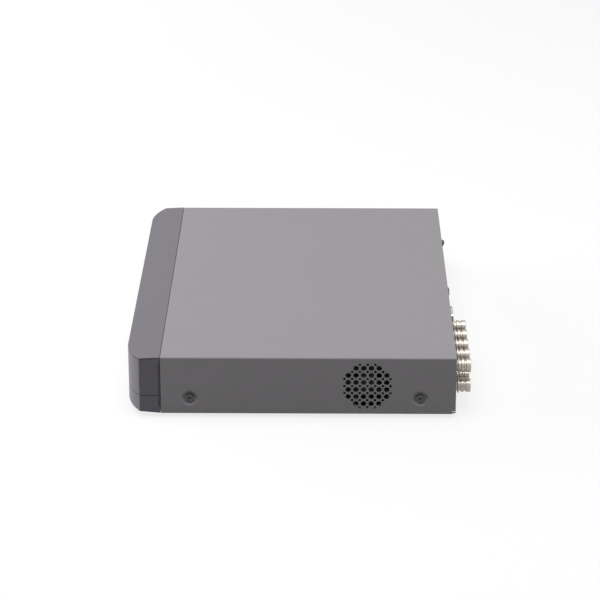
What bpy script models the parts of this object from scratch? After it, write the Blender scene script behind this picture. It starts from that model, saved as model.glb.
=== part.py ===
"""A compact video recorder in a folded steel case, with one object for each physical piece.

Metres, +Z up. The front bezel faces -Y, the fan grille is in the +X side and the feet stand on Z = 0.
"""
import math

import bmesh
import bpy
from mathutils import Matrix, Vector

MM = 0.001

# Clearances and how far tools overlap
FIT = 0.3 * MM                  # between pieces that seat on, or pass through, one another
PAST = 1.0 * MM                 # a cutter runs this far past the face that it opens
SINK = 0.3 * MM                 # a joined form reaches this far into its parent
MERGE = 0.0001 * MM
SMOOTH_ANGLE = math.radians(35)
FOLD_ANGLE = math.radians(45)        # sheet edges sharper than this are folds
BEZEL_EDGE_ANGLE = math.radians(60)  # the crisp side edge of the bezel stays as it is

# Sheet metal
SHEET = 0.8 * MM
BEND = 1.4 * MM
BEND_STEPS = 2
CORNER_NOTCH = 4.0 * MM         # relief where two folds of the tray meet
TRAY_LIP = 9.0 * MM             # top flanges that carry the cover
SIDE_FLANGE = 17.0 * MM

# Bought-in parts, which set the height and the length of the case
FAN_SIZE = 40.0 * MM
FAN_DEPTH = 10.5 * MM
FAN_WALL = 1.5 * MM             # beside the bore, at its thinnest
FAN_BORE = FAN_SIZE / 2 - FAN_WALL
FAN_CORNER = 3.0 * MM
FAN_SCREW_EDGE = 4.0 * MM
FAN_SCREW_PITCH = FAN_SIZE - 2 * FAN_SCREW_EDGE
FAN_FROM_REAR = 62.0 * MM
FAN_TAB_MARGIN = 2.0 * MM
FAN_TAB_RIM = 0.9 * MM
FAN_TAB_OPENING = FAN_BORE - FAN_TAB_RIM
FAN_HUB = 8.0 * MM
FAN_SPIDER = 2.0 * MM           # thickness of the motor plate and its arms
FAN_ARM = 3.0 * MM
FAN_SHAFT = 1.0 * MM
FAN_TIP_GAP = 0.8 * MM
FAN_BLADES = 7
BLADE_SPAN = 6.4 * MM           # along the axis
BLADE_WALL = 0.9 * MM
BLADE_TURN = math.radians(44)   # from the leading to the trailing edge
BLADE_SWEEP = math.radians(14)
DRIVE_LENGTH = 147.0 * MM
DRIVE_WIDTH = 101.6 * MM
DRIVE_HEIGHT = 26.1 * MM
DRIVE_LID = 1.0 * MM
DRIVE_LID_INSET = 3.0 * MM
DRIVE_HOLE_END = 41.28 * MM     # from the plug end to the first pair of threaded holes
DRIVE_HOLE_PITCH = 44.45 * MM
DRIVE_HOLE_WIDTH = 95.25 * MM
DRIVE_HOLE_DEPTH = 5.0 * MM
DRIVE_WALL = 5.0 * MM           # around the platter chamber
DRIVE_FLOOR = 8.0 * MM
DRIVE_BREATHER = 1.0 * MM
BOARD_DEPTH = 84.0 * MM
BOARD_THICKNESS = 1.6 * MM
STANDOFF_HEIGHT = 4.0 * MM
STANDOFF_RADIUS = 3.2 * MM

# Room around them
DRIVE_FRONT_GAP = 11.0 * MM
DRIVE_REAR_GAP = 8.1 * MM
DRIVE_SIDE_GAP = 6.0 * MM
DRIVE_BOSS = 4.0 * MM
DRIVE_BOSS_FOOT = 7.4 * MM
DRIVE_BOSS_TOP = 5.4 * MM
BOARD_REAR_GAP = 0.4 * MM
BOARD_EDGE = 8.0 * MM           # board past the outermost connectors
BOARD_FAN_GAP = 3.0 * MM

# The case
WIDTH = 315.0 * MM
REAR_UNITS = 315                # the rear connectors are set out on a grid of this many units
REAR_UNIT = WIDTH / REAR_UNITS
FOOT_HEIGHT = 2.8 * MM
FOOT_RADIUS = 9.0 * MM
FOOT_STEM = 2.2 * MM
FOOT_STEM_LENGTH = 2.4 * MM
FOOT_INSET = 26.0 * MM
BODY_HEIGHT = SHEET + FIT + FAN_SIZE + FIT + SHEET
COVER_LENGTH = (FIT + SHEET + DRIVE_FRONT_GAP + DRIVE_WIDTH + DRIVE_REAR_GAP
                + BOARD_DEPTH + BOARD_REAR_GAP + SHEET)

# Cover screws in their dimples, and the grille over the fan
DIMPLE_DEPTH = 2.0 * MM
DIMPLE_RADIUS = 5.4 * MM
DIMPLE_FLOOR = 3.6 * MM
DIMPLE_WALL = 0.5 * MM
COVER_SCREW_FRONT = 20.5 * MM   # from the bezel joint
COVER_SCREW_REAR = 25.0 * MM    # from the rear edge
COVER_SCREW_HEIGHT = 11.6 * MM  # above the underside of the case
GRILLE_COLUMNS = 6
GRILLE_RIM = 3.9 * MM           # fan frame that the hole pattern leaves covered
GRILLE_HOLE = 1.95 * MM
GRILLE_SMALL_HOLE = 1.0 * MM
VENT_SLOTS = 14
VENT_PITCH = 5.4 * MM
VENT_WIDTH = 2.4 * MM
VENT_HEIGHT = 20.0 * MM

# The bezel
BEZEL_DEPTH = 24.0 * MM
BEZEL_SIDE = 15.8 * MM          # flat side, from the joint to the crisp edge
BEZEL_RADIUS = 41.4 * MM        # plan radius of the front corners
BEZEL_ARC_STEPS = 8
BEZEL_WALL = 1.8 * MM
BEZEL_EDGE = 0.7 * MM
SEAM_HEIGHT = 13.2 * MM
SEAM_GAP = 0.4 * MM
CHIN_RISE = 3.2 * MM            # the underside climbs this much towards the front
LIP_WALL = 1.2 * MM
LIP_HEIGHT = 2.0 * MM
JOINT_SLOT = 1.3 * MM           # shadow slot between the bezel's sides and the cover
JOINT_SLOT_LOW = 5.2 * MM
JOINT_SLOT_HIGH = 37.6 * MM
HOOK_PLACES = (-110.0 * MM, -40.0 * MM, 40.0 * MM, 110.0 * MM)
HOOK_WIDTH = 8.0 * MM
HOOK_WALL = 1.6 * MM
HOOK_REACH = 7.0 * MM           # from the bezel's top or underside to the middle of the hook
HOOK_POST = 2.4 * MM
HOOK_SETBACK = 5.0 * MM
HOOK_BARB = 1.0 * MM
HOOK_TIP = 2.0 * MM

# Front board and what shows through the lower moulding
STRIP_CENTRE = 8.6 * MM         # height of the openings above the underside of the case
FRONT_BOARD_SIDE = 17.5 * MM    # from the +X side
FRONT_BOARD_LENGTH = 110.0 * MM
FRONT_BOARD_DEPTH = 14.0 * MM
FRONT_BOARD_THICKNESS = 1.2 * MM
FRONT_BOARD_SETBACK = 5.4 * MM
FRONT_POST = 2.2 * MM
FRONT_POST_PLACES = (6.0 * MM, 54.0 * MM, 105.0 * MM)
FRONT_POST_EDGE = 3.2 * MM
FRONT_USB_PLACE = 88.0 * MM     # along the front board, from its inner end
LIGHT_PLACES = (28.0 * MM, 36.0 * MM, 44.0 * MM)
LIGHT_RADIUS = 1.1 * MM
LIGHT_BAR = 3.0 * MM
WINDOW_PLACE = 15.0 * MM
WINDOW_WIDTH = 12.0 * MM
WINDOW_HEIGHT = 5.0 * MM
WINDOW_WALL = 1.6 * MM
WINDOW_LEDGE = 1.2 * MM
RECEIVER = 5.0 * MM

# BNC jacks
BNC_REACH = 11.0 * MM
BNC_COLUMNS = 5
BNC_LOWER_COLUMNS = 4
BNC_SIDE = 19.5 * REAR_UNIT  # from the +X side to the first column
BNC_PITCH = 17.9 * REAR_UNIT
BNC_LOW = 7.1 * MM              # lower row above the board
BNC_ROW_PITCH = 15.2 * MM
BNC_BARREL = 4.85 * MM
BNC_MOUTH = 4.1 * MM
BNC_COLLAR = 5.6 * MM
BNC_COLLAR_LENGTH = 3.4 * MM
BNC_FLANGE = 6.4 * MM
BNC_FLANGE_WALL = 1.5 * MM
BNC_CORE = 2.4 * MM
BNC_CORE_SETBACK = 2.0 * MM
BNC_BACK_WALL = 2.0 * MM
BNC_STUD = 1.0 * MM
BNC_STUD_REACH = 0.8 * MM
BNC_STUD_SETBACK = 5.2 * MM
BNC_CHAMFER = 0.4 * MM
BNC_BLOCK_EDGE = 7.5 * MM
BNC_BLOCK_DEPTH = 13.0 * MM

# Other rear connectors, placed one after another along the panel
AUDIO_STEP = 15.0 * REAR_UNIT
AUDIO_BODY = 10.6 * MM
AUDIO_DEPTH = 12.0 * MM
AUDIO_BARREL = 4.15 * MM
AUDIO_REACH = 8.6 * MM
AUDIO_BORE = 1.7 * MM
AUDIO_BORE_DEPTH = 7.5 * MM
HDMI_STEP = 17.0 * REAR_UNIT
HDMI_WIDTH = 15.0 * MM
HDMI_HEIGHT = 5.8 * MM
HDMI_CHAMFER = 1.8 * MM
VGA_STEP = 28.0 * REAR_UNIT
VGA_TOP = 8.5 * MM
VGA_BOTTOM = 7.3 * MM
VGA_HALF_HEIGHT = 4.2 * MM
VGA_REACH = 5.2 * MM
VGA_BODY_WIDTH = 30.8 * MM
VGA_BODY_HEIGHT = 12.5 * MM
VGA_BODY_DEPTH = 9.0 * MM
VGA_SCREW_PITCH = 25.0 * MM
VGA_SCREW_HEX = 2.75 * MM
VGA_SCREW_SHANK = 1.5 * MM
VGA_SCREW_LENGTH = 6.0 * MM
SWITCH_SIDE = 28.0 * REAR_UNIT  # from the -X side
DC_STEP = 18.0 * REAR_UNIT
DC_WIDTH = 9.0 * MM
DC_HEIGHT = 11.0 * MM
DC_DEPTH = 14.0 * MM
DC_BORE = 3.2 * MM
DC_BORE_DEPTH = 9.5 * MM
DC_PIN = 1.0 * MM
TERMINAL_STEP = 15.0 * REAR_UNIT
TERMINAL_WIDTH = 10.6 * MM
TERMINAL_HEIGHT = 9.0 * MM
TERMINAL_DEPTH = 12.0 * MM
TERMINAL_PITCH = 5.08 * MM
TERMINAL_HOLE = 1.3 * MM
TERMINAL_HOLE_DEPTH = 8.0 * MM
USB_STEP = 17.0 * REAR_UNIT
USB_WIDTH = 13.2 * MM
USB_HEIGHT = 5.8 * MM
USB_WALL = 0.4 * MM
USB_TONGUE = 1.9 * MM
USB_TONGUE_SIDE = 0.7 * MM
LAN_STEP = 22.0 * REAR_UNIT
LAN_WIDTH = 16.0 * MM
LAN_HEIGHT = 13.4 * MM
LAN_MOUTH_WIDTH = 11.8 * MM
LAN_MOUTH_HEIGHT = 7.4 * MM
LAN_MOUTH_FLOOR = 2.2 * MM
LAN_LATCH_WIDTH = 6.0 * MM
LAN_LATCH_HEIGHT = 2.2 * MM
PORT_DEPTH = 14.0 * MM
PORT_BACK = 2.0 * MM
PORT_REACH = 0.9 * MM
TONGUE_SETBACK = 1.2 * MM
GROUND_STEP = 20.0 * REAR_UNIT
GROUND_HEIGHT = 15.5 * MM
GROUND_SHANK = 2.0 * MM
GROUND_SHANK_LENGTH = 6.0 * MM
GROUND_WASHER = 4.6 * MM
GROUND_WASHER_WALL = 1.0 * MM
GROUND_HEAD = 3.8 * MM
GROUND_HEAD_HEIGHT = 3.2 * MM
GROUND_NUT = 4.2 * MM
GROUND_NUT_HEIGHT = 3.0 * MM

# The power switch
SWITCH_HEIGHT = 19.0 * MM
SWITCH_FLANGE_EDGE = 1.2 * MM
SWITCH_FLANGE_WALL = 1.8 * MM
SWITCH_WALL = 0.8 * MM
SWITCH_BODY_DEPTH = 12.0 * MM
ROCKER_RADIUS = 5.6 * MM
ROCKER_WIDTH = 6.4 * MM
ROCKER_PIVOT = 0.4 * MM         # pivot past the face of the rear panel
ROCKER_EAR = 3.4 * MM
ROCKER_EAR_SPREAD = 5.0 * MM
ROCKER_WAIST = 2.2 * MM
ROCKER_SHOULDER = math.radians(15)
ROCKER_TILT = math.radians(10)
ROCKER_STUB = 1.0 * MM
ROCKER_STUB_LENGTH = 0.5 * MM
ROCKER_ARC_STEPS = 8

# Screws
SCREW_SHANK = 1.5 * MM
SCREW_HEAD = 2.8 * MM
SCREW_HEAD_HEIGHT = 1.5 * MM
COVER_SCREW_LENGTH = 6.0 * MM
BOARD_SCREW_LENGTH = 5.0 * MM
BOARD_SCREW_EDGE = 6.0 * MM
BOARD_SCREW_REAR = 26.0 * MM    # from the rear panel
DRIVE_SCREW_LENGTH = 5.0 * MM

# On the main board
CHIP_SIZE = 22.0 * MM
CHIP_HEIGHT = 1.8 * MM
CHIP_X = 12.0 * MM
CHIP_DEEP = 40.0 * MM           # from the front edge of the board
MEMORY_WIDTH = 10.0 * MM
MEMORY_LENGTH = 14.0 * MM
MEMORY_HEIGHT = 1.2 * MM
MEMORY_GAP = 26.0 * MM
SINK_SIZE = 34.0 * MM
SINK_BASE = 2.4 * MM
SINK_HEIGHT = 12.0 * MM
SINK_FINS = 8
SINK_FIN_WALL = 1.4 * MM
COIN_RADIUS = 10.0 * MM
COIN_HEIGHT = 3.2 * MM
COIN_PLACE = 49.5 * MM          # from the -X edge of the board
COIN_DEEP = 30.0 * MM
HOLDER_WALL = 1.8 * MM
HOLDER_FLOOR = 1.2 * MM

# Leads inside the case
PLUG_LENGTH = 12.0 * MM
PLUG_HEIGHT = 5.6 * MM
PLUG_EDGE = 2.0 * MM
DRIVE_PLUG_LIFT = 3.0 * MM
DATA_PLUG_WIDTH = 12.0 * MM
DATA_PLUG_PLACE = 16.0 * MM     # from the rear side of the drive
DATA_BOARD_SHARE = 0.27         # of the room between the drive's plug end and the fan
POWER_PLUG_WIDTH = 20.0 * MM
POWER_PLUG_PLACE = 46.0 * MM
POWER_BOARD_SHARE = 0.47
DRIVE_CABLE = 2.2 * MM
FRONT_LEAD = 1.6 * MM
FRONT_LEAD_PLACE = 72.0 * MM    # along the front board
FRONT_PLUG_WIDTH = 9.0 * MM
FRONT_PLUG_LENGTH = 5.0 * MM
FAN_LEAD = 1.1 * MM
FAN_PLUG_LENGTH = 6.0 * MM
FAN_PLUG_GAP = 14.0 * MM        # from the fan to its plug
FAN_LEAD_SIDE = 12.0 * MM       # from the fan's middle
FAN_LEAD_RISE = 3.0 * MM

# Facets
HOLE_STEPS = 8
SMALL_HOLE_STEPS = 6
SCREW_STEPS = 8
BNC_STEPS = 10
FOOT_STEPS = 12
COIN_STEPS = 16
FAN_STEPS = 20
NUT_SIDES = 6
EDGE_STEPS = 2
BLADE_STATIONS = 3

# Planes that the pieces share
SIDE_X = WIDTH / 2
FRONT_Y = -(BEZEL_DEPTH + COVER_LENGTH + BNC_REACH) / 2
JOINT_Y = FRONT_Y + BEZEL_DEPTH
REAR_Y = JOINT_Y + COVER_LENGTH
FLOOR_Z = FOOT_HEIGHT
TOP_Z = FLOOR_Z + BODY_HEIGHT
SEAM_Z = FLOOR_Z + SEAM_HEIGHT
STRIP_Z = FLOOR_Z + STRIP_CENTRE
DECK_Z = FLOOR_Z + SHEET
PANEL_IN = REAR_Y - SHEET
TRAY_FRONT = JOINT_Y + FIT
TRAY_X = SIDE_X - SHEET - DIMPLE_DEPTH - FIT
TRAY_TOP = TOP_Z - SHEET - FIT
PANEL_X = SIDE_X - SHEET - 2 * FIT
COVER_SCREW_Z = FLOOR_Z + COVER_SCREW_HEIGHT
COVER_SCREW_PLACES = [(side, y) for side in (1, -1)
                      for y in (JOINT_Y + COVER_SCREW_FRONT, REAR_Y - COVER_SCREW_REAR)]

# The main board and the drive
BOARD_Z = DECK_Z + STANDOFF_HEIGHT + FIT
BOARD_TOP = BOARD_Z + BOARD_THICKNESS
SEAT_Z = BOARD_TOP + FIT
BOARD_BACK = PANEL_IN - BOARD_REAR_GAP
BOARD_FRONT = BOARD_BACK - BOARD_DEPTH
DRIVE_X = -TRAY_X + SHEET + DRIVE_SIDE_GAP
DRIVE_END = DRIVE_X + DRIVE_LENGTH
DRIVE_Y = TRAY_FRONT + SHEET + DRIVE_FRONT_GAP
DRIVE_BACK = DRIVE_Y + DRIVE_WIDTH
DRIVE_Z = DECK_Z + DRIVE_BOSS + FIT
DRIVE_HOLES = [(DRIVE_END - DRIVE_HOLE_END - along * DRIVE_HOLE_PITCH,
                DRIVE_Y + DRIVE_WIDTH / 2 + side * DRIVE_HOLE_WIDTH / 2)
               for along in (0, 1) for side in (1, -1)]

# The fan
FAN_OUT = TRAY_X - SHEET - FIT
FAN_IN = FAN_OUT - FAN_DEPTH
FAN_Y = REAR_Y - FAN_FROM_REAR
FAN_Z = DECK_Z + FIT + FAN_SIZE / 2
FAN_SCREWS = [(FAN_Y + side * FAN_SCREW_PITCH / 2, FAN_Z + side * FAN_SCREW_PITCH / 2) for side in (1, -1)]

# Where the rear connectors stand
BNC_COLUMN_X = [SIDE_X - BNC_SIDE - column * BNC_PITCH for column in range(BNC_COLUMNS)]
BNC_LOWER_Z = BOARD_TOP + BNC_LOW
BNC_UPPER_Z = BNC_LOWER_Z + BNC_ROW_PITCH
BNC_PLACES = ([(x, BNC_UPPER_Z) for x in BNC_COLUMN_X[:BNC_LOWER_COLUMNS]]
              + [(x, BNC_LOWER_Z) for x in BNC_COLUMN_X[:BNC_LOWER_COLUMNS]]
              + [(x, BNC_UPPER_Z) for x in BNC_COLUMN_X[BNC_LOWER_COLUMNS:]])
AUDIO_PLACES = [BNC_COLUMN_X[-1], BNC_COLUMN_X[-1] - AUDIO_STEP]
AUDIO_Z = SEAT_Z + AUDIO_BODY / 2
HDMI_X = AUDIO_PLACES[-1] - HDMI_STEP
VGA_X = HDMI_X - VGA_STEP
VGA_Z = SEAT_Z + VGA_BODY_HEIGHT / 2
VGA_SCREWS = [VGA_X + side * VGA_SCREW_PITCH / 2 for side in (1, -1)]
SWITCH_X = -SIDE_X + SWITCH_SIDE
SWITCH_Z = FLOOR_Z + SWITCH_HEIGHT
DC_X = SWITCH_X + DC_STEP
TERMINAL_X = DC_X + TERMINAL_STEP
USB_X = TERMINAL_X + USB_STEP
LAN_X = USB_X + LAN_STEP
GROUND_X = LAN_X + GROUND_STEP
GROUND_Z = FLOOR_Z + GROUND_HEIGHT
BOARD_LEFT = DC_X - BOARD_EDGE
BOARD_RIGHT = BNC_COLUMN_X[0] + BOARD_EDGE
BOARD_NOTCH_X = FAN_IN - BOARD_FAN_GAP
BOARD_NOTCH_Y = FAN_Y + FAN_SIZE / 2 + BOARD_FAN_GAP
BOARD_SCREWS = [(BOARD_LEFT + BOARD_SCREW_EDGE, BOARD_FRONT + BOARD_SCREW_EDGE),
                (BOARD_NOTCH_X - BOARD_SCREW_EDGE, BOARD_FRONT + BOARD_SCREW_EDGE),
                (BOARD_LEFT + BOARD_SCREW_EDGE, REAR_Y - BOARD_SCREW_REAR),
                (BOARD_RIGHT - BOARD_SCREW_EDGE, REAR_Y - BOARD_SCREW_REAR)]
FEET = {"front_left": (-SIDE_X + FOOT_INSET, JOINT_Y + FOOT_INSET),
        "front_right": (SIDE_X - FOOT_INSET, JOINT_Y + FOOT_INSET),
        "rear_left": (-SIDE_X + FOOT_INSET, REAR_Y - FOOT_INSET),
        "rear_right": (SIDE_X - FOOT_INSET, REAR_Y - FOOT_INSET)}

# Where the front pieces stand
UPPER_HOOK_Z = TOP_Z - HOOK_REACH
LOWER_HOOK_Z = FLOOR_Z + HOOK_REACH
BARB_Y = TRAY_FRONT + SHEET + FIT
FRONT_BOARD_X = SIDE_X - FRONT_BOARD_SIDE - FRONT_BOARD_LENGTH
FRONT_BOARD_Y = FRONT_Y + FRONT_BOARD_SETBACK
FRONT_BOARD_BACK = FRONT_BOARD_Y + FRONT_BOARD_DEPTH
FRONT_BOARD_Z = STRIP_Z + USB_HEIGHT / 2 + FIT
FRONT_BOARD_TOP = FRONT_BOARD_Z + FRONT_BOARD_THICKNESS
LOWER_WALL = BEZEL_WALL + FIT + LIP_WALL
FRONT_USB_X = FRONT_BOARD_X + FRONT_USB_PLACE
WINDOW_X = FRONT_BOARD_X + WINDOW_PLACE
FRONT_LEAD_X = FRONT_BOARD_X + FRONT_LEAD_PLACE
FRONT_LEAD_Z = FRONT_BOARD_TOP + FIT + PLUG_HEIGHT / 2


def material(name, colour, roughness, metallic=0.0):
    """A plain Principled finish."""
    made = bpy.data.materials.new(name)
    made.use_nodes = True
    shader = made.node_tree.nodes["Principled BSDF"]
    shader.inputs["Base Color"].default_value = (*colour, 1.0)
    shader.inputs["Roughness"].default_value = roughness
    shader.inputs["Metallic"].default_value = metallic
    return made


def add_box(bm, low, high):
    """A box between two corners."""
    low, high = Vector(low), Vector(high)
    bmesh.ops.create_cube(bm, size=1.0, matrix=Matrix.LocRotScale((low + high) / 2, None, high - low))


def add_cone(bm, start, end, start_radius, end_radius, steps):
    """A capped cone or cylinder between two points."""
    start, end = Vector(start), Vector(end)
    along = end - start
    place = Matrix.LocRotScale((start + end) / 2, along.to_track_quat("Z", "Y"), None)
    bmesh.ops.create_cone(bm, cap_ends=True, segments=steps, radius1=start_radius, radius2=end_radius,
                          depth=along.length, matrix=place)


def add_rod(bm, start, end, radius, steps):
    """A capped cylinder between two points."""
    add_cone(bm, start, end, radius, radius, steps)


def add_prism(bm, outline, axis, start, end):
    """An outline of (u, v) points, extruded along the X, Y or Z axis."""
    lay = {"X": lambda u, v: (start, u, v), "Y": lambda u, v: (u, start, v), "Z": lambda u, v: (u, v, start)}
    way = {"X": (1, 0, 0), "Y": (0, 1, 0), "Z": (0, 0, 1)}
    face = bm.faces.new([bm.verts.new(lay[axis](u, v)) for u, v in outline])
    grown = bmesh.ops.extrude_face_region(bm, geom=[face])
    moved = [item for item in grown["geom"] if isinstance(item, bmesh.types.BMVert)]
    bmesh.ops.translate(bm, verts=moved, vec=Vector(way[axis]) * (end - start))


def add_turned(bm, profile, centre, axis, steps, ring=False):
    """Revolve (along, radius) points about an axis; a ring's section is closed on itself."""
    centre, axis = Vector(centre), Vector(axis)
    side = axis.orthogonal().normalized()
    verts = [bm.verts.new(centre + axis * along + side * radius) for along, radius in profile]
    pairs = list(zip(verts, verts[1:]))
    if ring:
        pairs.append((verts[-1], verts[0]))
    edges = [bm.edges.new(pair) for pair in pairs]
    bmesh.ops.spin(bm, geom=verts + edges, cent=centre, axis=axis, angle=math.tau, steps=steps, use_merge=True)
    bmesh.ops.remove_doubles(bm, verts=bm.verts, dist=MERGE)


def rectangle(x, z, width, height):
    """Corner points of an upright rectangle about its middle."""
    return [(x + sx * width / 2, z + sz * height / 2) for sx, sz in ((-1, -1), (1, -1), (1, 1), (-1, 1))]


def rounded(x, z, width, height, radius, steps):
    """A rectangle with round corners."""
    points = []
    for quarter, (sx, sz) in enumerate(((1, 1), (-1, 1), (-1, -1), (1, -1))):
        for step in range(steps + 1):
            angle = (quarter + step / steps) * math.pi / 2
            points.append((x + sx * (width / 2 - radius) + radius * math.cos(angle),
                           z + sz * (height / 2 - radius) + radius * math.sin(angle)))
    return points


def mesh_from(bm, name):
    """A mesh with outward faces, round ones shaded smooth."""
    bmesh.ops.recalc_face_normals(bm, faces=bm.faces)
    mesh = bpy.data.meshes.new(name)
    bm.to_mesh(mesh)
    bm.free()
    mesh.shade_smooth()
    mesh.set_sharp_from_angle(angle=SMOOTH_ANGLE)
    return mesh


def put(name, mesh, look, location=(0, 0, 0), turn=None):
    """Place a mesh in the scene as a named piece."""
    made = bpy.data.objects.new(name, mesh)
    bpy.context.scene.collection.objects.link(made)
    made.location = location
    if turn is not None:
        made.rotation_mode = "QUATERNION"
        made.rotation_quaternion = turn
    if look is not None and not mesh.materials:
        mesh.materials.append(look)
    return made


def piece(name, bm, look):
    """A named piece from a bmesh."""
    return put(name, mesh_from(bm, name), look)


def combine(target, bm, operation):
    """A Boolean on a piece, whose tool stays as a hidden wire object."""
    name = f"{target.name} {operation.lower()} {len(target.modifiers)}"
    tool = put(name, mesh_from(bm, name), None)
    tool.hide_render = True
    tool.display_type = "WIRE"
    step = target.modifiers.new(name, "BOOLEAN")
    step.operation = operation
    step.solver = "EXACT"
    step.object = tool


def cut(target, bm):
    """Cut a tool out of a piece."""
    combine(target, bm, "DIFFERENCE")


def join(target, bm):
    """Fuse a form to a piece."""
    combine(target, bm, "UNION")


def round_edges(target, width, steps, angle):
    """Round the edges that are sharper than an angle, in flat facets that Booleans cut cleanly."""
    bevel = target.modifiers.new("round edges", "BEVEL")
    bevel.width = width
    bevel.segments = steps
    bevel.limit_method = "ANGLE"
    bevel.angle_limit = angle
    target.modifiers.new("flat faces", "TRIANGULATE")


def baked(target):
    """The finished mesh of a piece, whose modifiers and tools then go."""
    depsgraph = bpy.context.evaluated_depsgraph_get()
    mesh = bpy.data.meshes.new_from_object(target.evaluated_get(depsgraph))
    for step in list(target.modifiers):
        if step.type == "BOOLEAN":
            bpy.data.objects.remove(step.object)
    bpy.data.objects.remove(target)
    return mesh


def folded_sheet(name, panels, outward, look):
    """A sheet-metal piece from the outer faces of its panels, with round bends and an even wall."""
    bm = bmesh.new()
    for outline in panels:
        bm.faces.new([bm.verts.new(point) for point in outline])
    bmesh.ops.remove_doubles(bm, verts=bm.verts, dist=MERGE)
    bmesh.ops.recalc_face_normals(bm, faces=bm.faces)
    outer = max(bm.faces, key=lambda face: face.calc_center_median().dot(outward))
    if outer.normal.dot(outward) < 0:
        bmesh.ops.reverse_faces(bm, faces=bm.faces)
    mesh = bpy.data.meshes.new(name)
    bm.to_mesh(mesh)
    bm.free()
    made = put(name, mesh, look)
    round_edges(made, BEND, BEND_STEPS, FOLD_ANGLE)
    wall = made.modifiers.new("sheet", "SOLIDIFY")
    wall.thickness = SHEET
    wall.offset = -1
    wall.use_even_offset = True
    return made


def usb_outline(x, z, grow=0.0):
    """Outside of a USB shell."""
    return rectangle(x, z, USB_WIDTH + 2 * grow, USB_HEIGHT + 2 * grow)


def hdmi_outline(x, z, grow=0.0):
    """Outside of an HDMI shell, with its lower corners cut off."""
    half, rise = HDMI_WIDTH / 2 + grow, HDMI_HEIGHT / 2 + grow
    return [(x - half + HDMI_CHAMFER, z - rise), (x + half - HDMI_CHAMFER, z - rise),
            (x + half, z - rise + HDMI_CHAMFER), (x + half, z + rise),
            (x - half, z + rise), (x - half, z - rise + HDMI_CHAMFER)]


def vga_outline(grow=0.0):
    """The D shape of a VGA shell."""
    rise = VGA_HALF_HEIGHT + grow
    top, bottom = VGA_TOP + grow, VGA_BOTTOM + grow
    return [(VGA_X - bottom, VGA_Z - rise), (VGA_X + bottom, VGA_Z - rise),
            (VGA_X + top, VGA_Z + rise), (VGA_X - top, VGA_Z + rise)]


def lan_outline(grow=0.0):
    """Outside of the LAN shell."""
    return rectangle(LAN_X, SEAT_Z + LAN_HEIGHT / 2, LAN_WIDTH + 2 * grow, LAN_HEIGHT + 2 * grow)


def dc_outline(grow=0.0):
    """Outside of the DC jack."""
    return rectangle(DC_X, SEAT_Z + DC_HEIGHT / 2, DC_WIDTH + 2 * grow, DC_HEIGHT + 2 * grow)


def terminal_outline(grow=0.0):
    """Outside of the serial terminal."""
    z = SEAT_Z + TERMINAL_HEIGHT / 2
    return rectangle(TERMINAL_X, z, TERMINAL_WIDTH + 2 * grow, TERMINAL_HEIGHT + 2 * grow)


def switch_outline(grow=0.0):
    """Outside of the switch body that goes through the panel."""
    width = ROCKER_WIDTH + 2 * (FIT + SWITCH_WALL + grow)
    height = 2 * (ROCKER_RADIUS + FIT + SWITCH_WALL + grow)
    return rectangle(SWITCH_X, SWITCH_Z, width, height)


def bezel_plan(inset, back):
    """Plan of the bezel, drawn in by a wall: flat front, arc corners, flat sides."""
    reach = math.sqrt(BEZEL_RADIUS ** 2 - (BEZEL_RADIUS - BEZEL_DEPTH + BEZEL_SIDE) ** 2)
    centre_x = SIDE_X - reach
    centre_y = FRONT_Y + BEZEL_RADIUS
    radius = BEZEL_RADIUS - inset
    first = math.asin((SIDE_X - inset - centre_x) / radius)
    arc = []
    for step in range(BEZEL_ARC_STEPS + 1):
        angle = first * (1 - step / BEZEL_ARC_STEPS)
        arc.append((centre_x + radius * math.sin(angle), centre_y - radius * math.cos(angle)))
    right = [(SIDE_X - inset, back)] + arc
    return right + [(-x, y) for x, y in reversed(right)]


def slope_under(bm, lift):
    """Trim a bezel block along the rising underside, lifted by a wall."""
    fall = math.atan2(CHIN_RISE, BEZEL_DEPTH)
    down = Vector((0, -math.sin(fall), -math.cos(fall)))
    trimmed = bmesh.ops.bisect_plane(bm, geom=bm.verts[:] + bm.edges[:] + bm.faces[:], dist=MERGE,
                                     plane_co=(0, JOINT_Y, FLOOR_Z + lift), plane_no=down, clear_outer=True)
    rim = [item for item in trimmed["geom_cut"] if isinstance(item, bmesh.types.BMEdge)]
    bmesh.ops.contextual_create(bm, geom=rim)


def chin_z(y):
    """Height of the bezel's rising underside."""
    return FLOOR_Z + CHIN_RISE * (JOINT_Y - y) / BEZEL_DEPTH


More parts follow.
